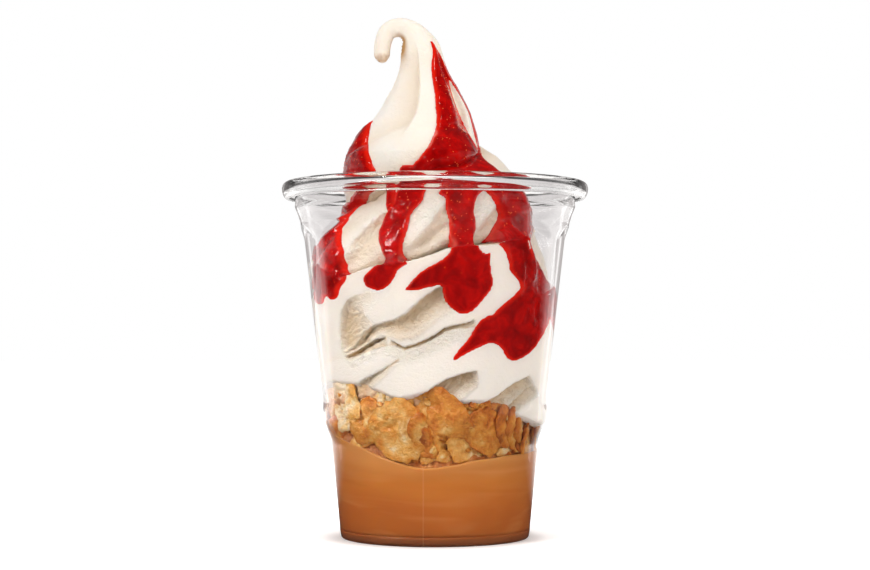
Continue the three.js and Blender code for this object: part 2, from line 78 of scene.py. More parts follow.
DENTS = {
    "hollow_left": [(-15.5, 77.4), (-20.0, 77.0), (-24.6, 75.8), (-28.0, 73.6), (-29.6, 70.0), (-30.0, 64.0), (-29.6, 58.5), (-28.6, 55.8)],
    "fold_upper": [(-13.8, 103.4), (-17.2, 100.4), (-21.0, 97.0), (-24.6, 93.6), (-28.0, 90.0)],
    "fold_middle": [(7.0, 99.6), (2.0, 97.6), (-3.0, 94.2), (-7.6, 90.0)],
    "edge_band": [(3.6, 78.9), (2.4, 78.0), (-0.4, 76.5), (-4.3, 73.7), (-7.0, 71.2), (-9.0, 69.2), (-12.6, 67.3), (-16.0, 66.3), (-19.3, 65.3), (-22.1, 63.4), (-24.3, 61.0), (-26.8, 58.1), (-28.8, 55.7)],
    "crack_left": [(-14.7, 62.1), (-16.0, 61.8), (-19.3, 60.6), (-22.1, 58.9), (-25.4, 57.2), (-28.3, 55.4)],
    "crack_right": [(13.1, 67.7), (10.4, 66.4), (6.5, 65.6), (3.1, 64.8), (0.6, 63.0), (-3.1, 61.0), (-6.8, 59.5), (-9.8, 58.7), (-12.1, 60.0), (-14.3, 61.5)],
    "crease_d": [(-10.7, 55.6), (-12.6, 54.3), (-14.3, 53.1), (-16.8, 51.5), (-20.1, 49.7), (-22.1, 48.6), (-24.6, 46.7)],
    "crease_e": [(13.5, 51.6), (12.1, 51.3), (8.2, 50.3), (3.8, 48.8), (0.4, 46.8), (-2.6, 44.9), (-5.4, 43.6), (-7.9, 42.9)],
    "crease_f": [(29.5, 50.2), (27.1, 48.7), (24.3, 47.4), (21.5, 45.4), (19.3, 43.6), (16.5, 42.2), (14.6, 41.0), (12.1, 41.4)],
    "crease_g": [(31.0, 46.9), (28.8, 45.4), (26.6, 43.6), (24.3, 41.6), (22.1, 39.7)],
}

# ---------------------------------------------------------------- small maths
def clamp(x, a, b):
    return np.minimum(b, np.maximum(a, x))


def mix(a, b, t):
    return a + (b - a) * t


def smooth(a, b, x):
    t = clamp((np.asarray(x, float) - a) / (b - a), 0.0, 1.0)
    return t * t * (3 - 2 * t)


def bell(x, c, w):
    return np.exp(-(((x - c) / w) ** 2))


def wrap(deg):
    return (np.asarray(deg, float) + 180.0) % 360.0 - 180.0


def table(x, pairs):
    p = np.array(pairs, float)
    return np.interp(x, p[:, 0], p[:, 1])


def curve_table(x, pairs):
    """table() with its corners rounded a little."""
    p = np.array(pairs, float)
    w = 0.18 * np.min(np.diff(p[:, 0])) + 0.35
    return sum(np.interp(np.asarray(x) + d * w, p[:, 0], p[:, 1]) for d in (-1.5, -0.75, 0, 0.75, 1.5)) / 5


def front(x, y, z):
    """A point's place in the front elevation."""
    k = VIEW_DISTANCE / (VIEW_DISTANCE + y)
    return x * k, VIEW_HEIGHT + (z - VIEW_HEIGHT) * k


_perm = np.random.default_rng(20).permutation(256)
_perm = np.concatenate([_perm, _perm])
_grad = np.random.default_rng(21).normal(size=(256, 3))
_grad /= np.linalg.norm(_grad, axis=1)[:, None]


def noise(x, y, z):
    """Smooth gradient noise, about -0.7 to 0.7."""
    x, y, z = np.broadcast_arrays(*(np.asarray(v, float) for v in (x, y, z)))
    xi, yi, zi = (np.floor(v).astype(int) for v in (x, y, z))
    xf, yf, zf = x - xi, y - yi, z - zi
    u, v, w = (t * t * t * (t * (t * 6 - 15) + 10) for t in (xf, yf, zf))
    total = 0.0
    for dx in (0, 1):
        for dy in (0, 1):
            for dz in (0, 1):
                h = _perm[_perm[_perm[(xi + dx) & 255] + ((yi + dy) & 255)] + ((zi + dz) & 255)]
                g = _grad[h]
                dot = g[..., 0] * (xf - dx) + g[..., 1] * (yf - dy) + g[..., 2] * (zf - dz)
                total = total + dot * np.where(dx, u, 1 - u) * np.where(dy, v, 1 - v) * np.where(dz, w, 1 - w)
    return total


def fbm(x, y, z, octaves=3):
    total, gain = 0.0, 1.0
    for k in range(octaves):
        s = 2.03**k
        total = total + gain * noise(x * s + 7.1 * k, y * s - 3.3 * k, z * s + 1.7 * k)
        gain *= 0.5
    return total


def signed_distance(px, pz, outline):
    """Distance inside a closed outline, negative outside."""
    p = np.array(outline, float)
    q = np.roll(p, -1, axis=0)
    best = np.full(px.shape, 1e9)
    inside = np.zeros(px.shape, bool)
    for (ax, az), (bx, bz) in zip(p, q):
        ux, uz = bx - ax, bz - az
        t = clamp(((px - ax) * ux + (pz - az) * uz) / (ux * ux + uz * uz + 1e-12), 0, 1)
        best = np.minimum(best, (px - ax - t * ux) ** 2 + (pz - az - t * uz) ** 2)
        if az != bz:
            cross = (az > pz) != (bz > pz)
            inside ^= cross & (px < ax + (pz - az) / (bz - az) * ux)
    d = np.sqrt(best)
    return np.where(inside, d, -d)


def along_curve(px, pz, line):
    """Signed distance from an open line (positive on its left) and the share of the way along it."""
    p = np.array(line, float)
    seg = np.linalg.norm(np.diff(p, axis=0), axis=1)
    start = np.concatenate([[0], np.cumsum(seg)])
    best = np.full(px.shape, 1e9)
    side = np.zeros(px.shape)
    share = np.zeros(px.shape)
    for i in range(len(p) - 1):
        ax, az = p[i]
        ux, uz = p[i + 1] - p[i]
        t = clamp(((px - ax) * ux + (pz - az) * uz) / (ux * ux + uz * uz), 0, 1)
        dx, dz = px - ax - t * ux, pz - az - t * uz
        d = dx * dx + dz * dz
        near = d < best - 1e-9
        best = np.where(near, d, best)
        side = np.where(near, np.where(ux * dz - uz * dx > 0, 1.0, -1.0), side)
        share = np.where(near, (start[i] + t * seg[i]) / start[-1], share)
    return np.sqrt(best) * side, share


def rounded(points, times=2):
    """A closed outline with its corners cut (Chaikin)."""
    p = np.array(points, float)
    for _ in range(times):
        q = np.roll(p, -1, axis=0)
        p = np.stack([p * 0.75 + q * 0.25, p * 0.25 + q * 0.75], 1).reshape(-1, 2)
    return p


# ---------------------------------------------------------------- the cup's wall
def panel_factor(deg):
    deg = np.asarray(deg, float)
    total = 0.0
    for k in range(PANELS):
        c = np.cos((deg - PANEL_CORNER - 360 / PANELS * (k + 0.5)) * RAD)
        total = total + np.maximum(c, 0) ** 48
    return math.cos(math.pi / PANELS) * total ** (-1 / 48)


def wall_radius(z):
    z = np.asarray(z, float)
    low = LOWER_R0 + (LOWER_R1 - LOWER_R0) * (z - 1.2) / (SHOULDER_Z0 - 1.2)
    mid = LOWER_R1 + (PANEL_R0 - LOWER_R1) * smooth(SHOULDER_Z0, SHOULDER_Z1, z)
    high = PANEL_R0 + (PANEL_R1 - PANEL_R0) * (z - SHOULDER_Z1) / (PANEL_TOP - SHOULDER_Z1)
    return np.where(z <= SHOULDER_Z0, low, np.where(z <= SHOULDER_Z1, mid, high))


def panel_share(deg, z):
    # each panel ends in a shallow arch: highest at its middle
    middle = 0.5 + 0.5 * np.cos((np.asarray(deg, float) - PANEL_CORNER - 20) * PANELS * RAD)
    top = PANEL_TOP - 2.6 + 2.6 * middle
    foot = SHOULDER_Z1 + 2.0 - 2.0 * middle
    return PANEL_DEPTH * smooth(foot, foot + 4.5, z) * (1 - smooth(top - 3.2, top, z))


def panelled(deg, z):
    return 1 + panel_share(deg, z) * (panel_factor(deg) - 0.985)


def inside_radius(deg, z):
    return wall_radius(z) * panelled(deg, z) - WALL


# ---------------------------------------------------------------- layer levels
CARAMEL_RIM = [(-180, 28.5), (-130, 30.5), (-100, 34), (-84, 34.5), (-70, 32.4), (-58, 30.8), (-41, 28.6), (-28, 25.8), (-14, 23.7), (-4, 23.1), (11, 24.0), (22, 25.5), (41, 26.4), (73, 27.4), (120, 28.8), (150, 27.6), (180, 28.5)]
ICE_RIM = [(-180, 43), (-150, 42), (-120, 44), (-90, 46), (-62, 48), (-42, 47.4), (-27.5, 45.5), (-17, 43.2), (-11, 44.0), (-4.4, 45.6), (3, 44.2), (11, 42.3), (25, 42.2), (31, 41.6), (39, 40.4), (46, 38.0), (61, 35.6), (75, 34.4), (95, 35.5), (120, 39.5), (150, 41), (180, 43)]


def room_at(deg, s):
    """How far out anything in the cup may reach: just into the wall, clear of the band under the lip."""
    return inside_radius(deg, np.minimum(s, 106.0)) + INTO_WALL - 1.5 * smooth(97.0, 99.5, s)


def caramel_top(deg, share=1.0):
    a = wrap(deg)
    rim = curve_table(a, CARAMEL_RIM) + 0.5 * noise(np.cos(a * RAD) * 3, np.sin(a * RAD) * 3, 5.5)
    return mix(27.0, rim, share**2)


def ice_bottom(deg, share=1.0):
    a = wrap(deg)
    rim = curve_table(a, ICE_RIM) + 0.7 * noise(np.cos(a * RAD) * 5, np.sin(a * RAD) * 5, 1.5)
    return mix(43.0, rim, share**2)


# ---------------------------------------------------------------- ice cream form
PITCH = 24.0
CREASE_RISE = [(-180, -24), (-110, -14.6), (-60, -8.0), (-41.5, -6.0), (-27, -3.4), (-12, -2.4), (0, 0), (8, 1.9), (27, 2.8), (45, 5.4), (90, 12), (180, 24)]
CREASE_Z = 86.6
LOBE_SPAN = 37.0


def crease_rise(deg):
    a = wrap(deg)
    t = curve_table(a, CREASE_RISE)
    lin = a * 24 / 180
    return mix(t, lin, smooth(150, 178, np.abs(a)))


def coil_reach(deg, z, strand):
    """How far the coils come out from the axis before the cup holds them back."""
    a = wrap(deg)
    left = bell(a, -85, 55)
    right = bell(a, 75, 48)
    free = table(z, [(30, 40), (60, 40.5), (72, 39.6), (78, 37.2), (84, 35.4), (90, 33.8), (96, 31.8), (104, 29.8), (112, 28.4), (118, 25.8), (124, 19), (132, 8)])
    free = free + left * table(z, [(60, 0), (72, 1.5), (80, 3.6), (88, 3.4), (94, 1.6), (102, -0.6), (108, -2.4), (113, -5.0), (120, -5.5), (130, -4)])
    free = free + right * table(z, [(62, 0), (72, 0.6), (80, -0.4), (90, -1.6), (100, 0.4), (110, 0.2), (120, 0)])
    # below the main crease the front is pressed flat against the cup
    pressed = wall_radius(z) + 4.5
    here = smooth(-66, -54, a) * (1 - smooth(40, 56, a)) * (strand < 0)
    return mix(free, np.maximum(pressed, free), here)


def groove(q):
    """Profile across one ridge of the extruded rope: a sharp drop, then a long rise."""
    f = q - np.floor(q)
    return smooth(0.0, 0.20, f) * (1 - smooth(0.20, 0.90, f)) ** 1.1


def coil_radius(deg, z):
    """The wound part of the swirl, and how deep in a crease each point is."""
    a = wrap(deg)
    rise = crease_rise(a)
    turn = (z - CREASE_Z - rise) / PITCH
    strand = np.floor(turn)
    across = 2 * (turn - strand) - 1
    bulge = np.sqrt(np.maximum(0, 1 - np.abs(across) ** 2.5))
    up = turn - strand
    front_low = (strand < -1) * smooth(-82, -70, a) * (1 - smooth(66, 80, a))
    depth = table(z, [(40, 4.6), (70, 5.6), (90, 6.6), (112, 6.0), (122, 5.0)])
    q = (a - 2.0 * (z - CREASE_Z - rise - strand * PITCH) - 97 * strand + 24) / LOBE_SPAN
    q = q + 0.06 * noise(a * 0.05, z * 0.12, 3.0)
    lobe = groove(q) * smooth(0.0, 0.22, up) * (1 - smooth(0.5, 1.0, up)) * (1 - smooth(98, 109, z))
    quiet = (strand == -1) * smooth(-60, -50, a) * (1 - smooth(28, 40, a))
    quiet = np.maximum(quiet, front_low)
    ahead = (strand >= 0) * smooth(-80, -60, a) * (1 - smooth(60, 80, a))
    r = coil_reach(a, z, strand)
    r = r - depth * (1 - bulge) * (1 - front_low) - mix(3.1, 1.5, ahead) * lobe * (1 - quiet)
    return r, (1 - bulge) * (1 - front_low), lobe * (1 - quiet)


CONE = [(100, 22.5), (113.7, 21.5), (120, 19.6), (123, 18.6), (126, 17.2), (129, 15.4), (132, 13.9), (135.5, 12.1), (138.5, 10.4), (141.5, 8.9), (144.7, 7.5), (148, 6.8), (151.5, 6.4), (154, 5.4), (157, 4.0), (160, 3.15), (164, 2.8), (170, 2.6), (176, 2.35)]


def cone_radius(deg, s):
    r = curve_table(s, CONE)
    # five soft-edged ridges that straighten as they climb
    edge = table(s, [(104, -70), (110, -48), (114.9, -32), (118, -23), (122.7, -14), (126, -8.5), (129.5, -5.5), (136, -5), (146, -7), (153, -6), (176, -6)])
    f = ((np.asarray(deg, float) - edge) / 72.0) % 1.0
    valley = smooth(0.25, 0.92, f) * (1 - smooth(0.93, 1.0, f))
    valley2 = bell(f, 0.16, 0.12) * 0.25
    keep = 1 - smooth(141, 157, s)
    return r * (1 - (0.125 * valley + 0.05 * valley2) * keep + 0.022 * keep), valley * keep


CURL = np.array([(-3.7, TIP_Z), (-4.2, 149), (-5.2, 152.7), (-6.9, 156.0), (-9.6, 158.0), (-12.4, 158.15), (-14.8, 156.9), (-16.0, 154.2), (-16.5, 151.2), (-16.45, 147.4)])


def _curl_samples(n=400):
    p = CURL
    ext = np.vstack([2 * p[0] - p[1], p, 2 * p[-1] - p[-2]])
    out = []
    for i in range(1, len(ext) - 2):
        t = np.linspace(0, 1, n // (len(p) - 1), endpoint=False)[:, None]
        a, b, c, d = ext[i - 1], ext[i], ext[i + 1], ext[i + 2]
        out.append(0.5 * (2 * b + (c - a) * t + (2 * a - 5 * b + 4 * c - d) * t**2 + (3 * b - a - 3 * c + d) * t**3))
    out.append(p[-1][None])
    out = np.vstack(out)
    s = np.concatenate([[0], np.cumsum(np.linalg.norm(np.diff(out, axis=0), axis=1))])
    return out, s


CURL_P, CURL_S = _curl_samples()
CURL_LENGTH = float(CURL_S[-1])
STATION_END = TIP_Z + CURL_LENGTH
CURL_T = np.gradient(CURL_P, axis=0)
CURL_T /= np.linalg.norm(CURL_T, axis=1)[:, None]


def body_centre(z):
    return curve_table(z, [(104, 0), (110, -2.6), (113, -4.2), (119, -6.0), (126, -4.8), (132, -3.5), (138.5, -3.25), (TIP_Z, -3.7)])


def placed(deg, s, r):
    """Puts a skin radius at an angle and station into space."""
    low = s <= TIP_Z
    w = clamp(s - TIP_Z, 0, CURL_LENGTH)
    cx = np.where(low, body_centre(np.minimum(s, TIP_Z)), np.interp(w, CURL_S, CURL_P[:, 0]))
    cz = np.where(low, s, np.interp(w, CURL_S, CURL_P[:, 1]))
    tx = np.where(low, 0.0, np.interp(w, CURL_S, CURL_T[:, 0]))
    tz = np.where(low, 1.0, np.interp(w, CURL_S, CURL_T[:, 1]))
    lean = smooth(TIP_Z, TIP_Z + 6, s)
    tx, tz = tx * lean, mix(1.0, tz, lean)
    n = np.hypot(tx, tz)
    tx, tz = tx / n, tz / n
    sn, cs = np.sin(deg * RAD), np.cos(deg * RAD)
    return np.stack([cx + r * sn * tz, -r * cs, cz - r * sn * tx], -1)


# for each crease line: depth at shares of its length, how far it takes to come back out
# (also by share), width of the step, power of the return, extra shallow slope (depth, reach)
CREASES = {
    "edge_band": ([(0, 2.6), (0.3, 3.0), (0.5, 2.3), (0.62, 1.7), (0.8, 2.3), (1, 0.8)], [(0, 11), (0.45, 9.5), (0.62, 4.6), (1, 4.0)], 0.4, 1.0, (0, 1)),
    "crack_left": ([(0, 0.5), (0.25, 1.5), (0.7, 1.5), (1, 0.5)], [(0, 1.6), (1, 2.6)], 0.3, 1.0, (0.55, 7.0)),
    "crack_right": ([(0, 0.5), (0.2, 1.5), (0.55, 1.4), (0.8, 1.0), (1, 0.4)], [(0, 1.4), (1, 1.3)], 0.25, 1.1, (0.6, 7.5)),
    "hollow_left": ([(0, 0.1), (0.25, 0.5), (0.45, 1.5), (0.65, 2.5), (0.85, 2.4), (1, 0.8)], [(0, 7), (0.4, 13), (1, 13)], 2.8, 1.0, (0, 1)),
    "fold_upper": ([(0, 0.5), (0.3, 1.7), (0.8, 1.7), (1, 0.5)], [(0, 5), (1, 7)], 3.4, 1.0, (0, 1)),
    "fold_middle": ([(0, 0.4), (0.3, 1.4), (0.8, 1.4), (1, 0.4)], [(0, 6), (1, 6)], 3.6, 1.0, (0, 1)),
    "crease_d": ([(0, 0.1), (0.3, 0.5), (0.6, 1.1), (1, 2.0)], [(0, 2.5), (0.5, 4.0), (1, 6.0)], 0.3, 1.1, (0, 1)),
    "crease_e": ([(0, 2.6), (0.3, 3.8), (1, 3.8)], [(0, 5.5), (0.35, 9.0), (1, 9.0)], 0.35, 0.9, (0, 1)),
    "crease_f": ([(0, 2.2), (0.4, 3.4), (1, 2.6)], [(0, 6), (1, 6)], 0.35, 0.9, (0, 1)),
    "crease_g": ([(0, 1.4), (1, 2.4)], [(0, 4), (1, 4)], 0.3, 1.0, (0, 1)),
}

def dents(px, pz, facing):
    """Hollows under single creases, in the front elevation."""
    total = np.zeros(px.shape)
    dark = np.zeros(px.shape)
    for n, (name, (depth, reach, edge, power, (more, far))) in enumerate(CREASES.items()):
        d, share = along_curve(px, pz, DENTS[name])
        d = d + 0.16 * noise(px * 1.1, pz * 1.1, 3.0 + n) + 0.07 * noise(px * 3.1, pz * 3.1, 9.0 + n)
        ends = smooth(0.0, 0.10, share) * (1 - smooth(0.90, 1.0, share))
        step = smooth(-0.08, 0.55 * edge, d) * ends * facing
        g = step * (1 - smooth(0.0, 1.0, d / table(share, reach))) ** power
        total = total + table(share, depth) * g + more * step * (1 - smooth(0.0, far, d))
        # painted shade: the deeper a hollow under a crease, the darker it is stored, for the material to tint tan
        dark = np.maximum(dark, 0.9 * g * np.minimum(1.0, table(share, depth) / 2.4))
        if edge < 0.6:
            # painted shade along the crease's edge itself: a thin dark ochre line, above 1 in the field
            crease_line_shade = bell(d, 0.2, 0.42) * ends * facing * (0.75 + 0.5 * noise(px * 0.9, pz * 0.9, 30.0 + n))
            dark = np.maximum(dark, crease_line_shade * (1.9 if name.startswith("crack") else 1.15))
    # pulled, frosty surface wherever it isn't pressed to the plastic
    open_ = smooth(0.1, 1.7, total)
    along, across = px * 0.82 + pz * 0.57, pz * 0.82 - px * 0.57
    fibre = 0.62 * noise(along * 0.45, across * 1.05, 4.0) + 0.5 * noise(along * 0.9 + 3, across * 1.9, 6.0)
    total = total + open_ * (fibre + 0.15)
    # painted shade: the deeper pits of the frosty fibre are stored darker too
    dark = np.maximum(dark, np.minimum(0.95, dark + 0.9 * open_ * np.maximum(0.0, fibre)) * (dark < 1))
    return total, dark


OUTLINES = {k: rounded(v, 2) for k, v in SAUCE.items()}
BARE_PATCH = rounded(BARE["sliver"], 1)


def sauce_depth(deg, s, r_ice):
    """How far inside the sauce's outlines a point of the skin is, in millimetres."""
    p = placed(deg, s, r_ice)
    x, y, z = p[..., 0], p[..., 1], p[..., 2]
    px, pz = front(x, y, z)
    wob = 0.25 * noise(px * 0.55, pz * 0.55, 8.0) + 0.1 * noise(px * 1.9, pz * 1.9, 2.0)
    d = np.full(px.shape, -50.0)
    for k, line in OUTLINES.items():
        d = np.maximum(d, signed_distance(px, pz, line))
    d = np.minimum(d + wob, -signed_distance(px, pz, BARE_PATCH))
    # it wraps a little way past each side and ends unevenly
    limit = 2.5 + 9.0 * noise(z * 0.06, 0.3, 4.4) + 2.0 * noise(z * 0.16, 1.3, 2.2)
    limit = np.where(x < 0, limit + 3.0 * bell(z, 82, 9), limit)
    # a rounded corner where the two meet
    edge = (limit - y) * 0.9
    h = clamp(0.5 + 0.5 * (d - edge) / 4.0, 0, 1)
    h = np.where(edge > 12, 0.0, h)
    d = np.where(edge > 12, d, mix(d, edge, h) - 4.0 * h * (1 - h))
    # a run down the far right side of the peak
    a = wrap(deg)
    mid = table(s, [(112, 96), (120, 92), (134, 91), (147, 84)])
    half = table(s, [(108, 2.6), (114, 3.4), (122, 3.0), (134, 1.9), (143, 1.1), (147, 0.2)])
    run = half - np.abs(wrap(a - mid)) * RAD * np.maximum(r_ice, 3)
    run = np.minimum(run, np.minimum((s - 124.0) * 0.5, 147.5 - s))
    return np.maximum(d, run), px, pz


def ice_raw(deg, s, detail=True):
    """Skin radius of the ice cream before the cup and the sauce press on it, with shading fields."""
    r_cone, v_cone = cone_radius(deg, s)
    r_coil, crease, lobe = coil_radius(deg, np.minimum(s, 134.0))
    r_coil = np.where(s < 134, r_coil, 0.0)
    # soft maximum, so that the peak grows out of the last coil
    k = 1.2
    h = clamp(0.5 + 0.5 * (r_coil - r_cone) / k, 0, 1)
    r = mix(r_cone, r_coil, h) + k * h * (1 - h) * 0.5
    # painted shade: crease depth, lobes and the cone's valleys are kept as darkness for the material to tint
    dark = h * np.maximum(crease * 0.9, lobe * 0.5) + (1 - h) * v_cone * 0.35
    r = r * np.sqrt(clamp((STATION_END + 0.4 - s) / 2.4, 0, 1))
    if detail:
        sn, cs = np.sin(deg * RAD), np.cos(deg * RAD)
        x, y, z = r * sn, -r * cs, s
        keep = 1 - smooth(150, 160, s)
        r = r + keep * (0.30 * noise(x * 0.16, y * 0.16, z * 0.2) + 0.10 * noise(x * 0.5, y * 0.5, z * 0.9 + 4))
        # fine pulled texture, strongest low down in the folds
        low = 1 - smooth(108, 118, s)
        r = r + low * (0.09 * noise(x * 1.3, y * 1.3, z * 2.1) + 0.05 * noise(x * 2.4 + 5, y * 2.4, z * 3.3))
        under = bell(s, TIP_Z + 11.5, 4.5) * smooth(-140, -95, wrap(deg)) * (1 - smooth(-85, -40, wrap(deg)))
        r = r - 0.5 * under * (1 + np.sin(s * 4.2 + 0.05 * deg)) * 0.5
    return r, dark


def ice_surface(deg, s):
    """Final skin radius, darkening of folds, contact with the cup, and depth under sauce."""
    r, dark = ice_raw(deg, s)
    a = wrap(deg)
    room = room_at(a, s)
    held = s < 106
    r0 = np.where(held, np.minimum(r, room), r)
    p = placed(deg, s, r0)
    px, pz = front(p[..., 0], p[..., 1], p[..., 2])
    facing = smooth(0.05, 0.25, np.cos(a * RAD)) * (1 - smooth(103, 106, s))
    d, dd = dents(px, pz, facing)
    r1 = np.minimum(r, np.where(held, room, r)) - d
    cover, _, _ = sauce_depth(deg, s, r1)
    pressed = room - 1.9 * smooth(-0.2, 2.2, cover) * held
    r2 = np.where(held, np.minimum(r1, pressed), r1)
    contact = np.where(held, 1 - smooth(0.0, 0.45, room - r2), 0.0)
    # the lowest edge curls in
    lip = s - ice_bottom(a) 
    r2 = r2 - 1.6 * (1 - smooth(0.0, 1.5, lip)) ** 2
    return r2, np.maximum(dark, dd), contact, cover


# ---------------------------------------------------------------- mesh making
def new_object(name, verts, faces, smooth_shade=True, replaces=(), ride=True):
    me = bpy.data.meshes.new(name)
    me.from_pydata((np.asarray(verts) * MM).tolist(), [], [tuple(int(i) for i in f) for f in faces])
    me.validate()
    me.update()
    if smooth_shade:
        me.polygons.foreach_set("use_smooth", np.ones(len(me.polygons), bool))
    ob = bpy.data.objects.new(name, me)
    bpy.context.scene.collection.objects.link(ob)
    if ride:
        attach(ob, "root")
    if replaces:
        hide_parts(*replaces)
    return ob


def add_field(ob, name, *channels):
    """Stores up to three point fields as a colour attribute for the material."""
    n = len(ob.data.vertices)
    data = np.ones((n, 4), np.float32)
    for i in range(3):
        data[:, i] = channels[i] if i < len(channels) else 0
    at = ob.data.color_attributes.new(name, "FLOAT_COLOR", "POINT")
    at.data.foreach_set("color", data.ravel())


def ring_faces(rows, cols, flip=False):
    """Quads between rows of a closed ring grid."""
    i, j = np.meshgrid(np.arange(rows - 1), np.arange(cols), indexing="ij")
    k = (j + 1) % cols
    q = np.stack([i * cols + j, i * cols + k, (i + 1) * cols + k, (i + 1) * cols + j], -1).reshape(-1, 4)
    return q[:, ::-1] if flip else q


def closed_rings(points, bottom, top):
    """Vertices and faces of a closed body from a (rows, cols, 3) grid and two pole points."""
    rows, cols, _ = points.shape
    verts = np.vstack([points.reshape(-1, 3), bottom, top])
    faces = [tuple(f) for f in ring_faces(rows, cols)]
    b, t = rows * cols, rows * cols + 1
    for j in range(cols):
        k = (j + 1) % cols
        faces.append((b, k, j))
        faces.append((t, (rows - 1) * cols + j, (rows - 1) * cols + k))
    return verts, faces


# ---------------------------------------------------------------- node materials
def material(name):
    m = bpy.data.materials.new(name)
    m.use_nodes = True
    nt = m.node_tree
    nt.nodes.clear()
    out = nt.nodes.new("ShaderNodeOutputMaterial")
    bsdf = nt.nodes.new("ShaderNodeBsdfPrincipled")
    nt.links.new(bsdf.outputs[0], out.inputs["Surface"])
    return m, nt, bsdf


def node(nt, kind, **inputs):
    n = nt.nodes.new(kind)
    for k, v in inputs.items():
        key = k.replace("_", " ")
        if key in n.inputs:
            n.inputs[key].default_value = v
        else:
            setattr(n, k, v)
    return n


def noise_tex(nt, scale, detail=3.0, rough=0.5, stretch=(1, 1, 1), distortion=0.0):
    tc = nt.nodes.new("ShaderNodeTexCoord")
    mp = nt.nodes.new("ShaderNodeMapping")
    mp.inputs["Scale"].default_value = stretch
    nt.links.new(tc.outputs["Object"], mp.inputs["Vector"])
    n = nt.nodes.new("ShaderNodeTexNoise")
    n.inputs["Scale"].default_value = scale
    n.inputs["Detail"].default_value = detail
    n.inputs["Roughness"].default_value = rough
    n.inputs["Distortion"].default_value = distortion
    nt.links.new(mp.outputs[0], n.inputs["Vector"])
    return n.outputs["Fac"]


def ramp(nt, fac, stops):
    r = nt.nodes.new("ShaderNodeValToRGB")
    el = r.color_ramp.elements
    el[0].position, el[0].color = stops[0][0], (*stops[0][1], 1)
    el[1].position, el[1].color = stops[-1][0], (*stops[-1][1], 1)
    for p, c in stops[1:-1]:
        e = el.new(p)
        e.color = (*c, 1)
    nt.links.new(fac, r.inputs["Fac"])
    return r.outputs["Color"]


def math_node(nt, op, a, b=None, clampit=False):
    n = nt.nodes.new("ShaderNodeMath")
    n.operation = op
    n.use_clamp = clampit
    for i, v in enumerate((a, b)):
        if v is None:
            continue
        if isinstance(v, (int, float)):
            n.inputs[i].default_value = v
        else:
            nt.links.new(v, n.inputs[i])
    return n.outputs[0]


def mix_colour(nt, fac, a, b, blend="MIX"):
    n = nt.nodes.new("ShaderNodeMix")
    n.data_type = "RGBA"
    n.blend_type = blend
    ins = [s for s in n.inputs if s.enabled]
    for s, v in zip(ins, (fac, a, b)):
        if isinstance(v, (int, float)):
            s.default_value = v
        elif isinstance(v, tuple):
            s.default_value = (*v, 1) if len(v) == 3 else v
        else:
            nt.links.new(v, s)
    return [o for o in n.outputs if o.enabled][0]


def field(nt, name):
    a = nt.nodes.new("ShaderNodeAttribute")
    a.attribute_name = name
    s = nt.nodes.new("ShaderNodeSeparateColor")
    nt.links.new(a.outputs["Color"], s.inputs[0])
    return s.outputs


def bump(nt, bsdf, height, strength, distance):
    b = nt.nodes.new("ShaderNodeBump")
    b.inputs["Strength"].default_value = strength
    b.inputs["Distance"].default_value = distance
    nt.links.new(height, b.inputs["Height"])
    nt.links.new(b.outputs[0], bsdf.inputs["Normal"])


def lin(r, g, b):
    """Display colour 0-255 to linear."""
    f = lambda c: c / 12.92 if c <= 0.04045 else ((c + 0.055) / 1.055) ** 2.4
    return tuple(f(v / 255) for v in (r, g, b))


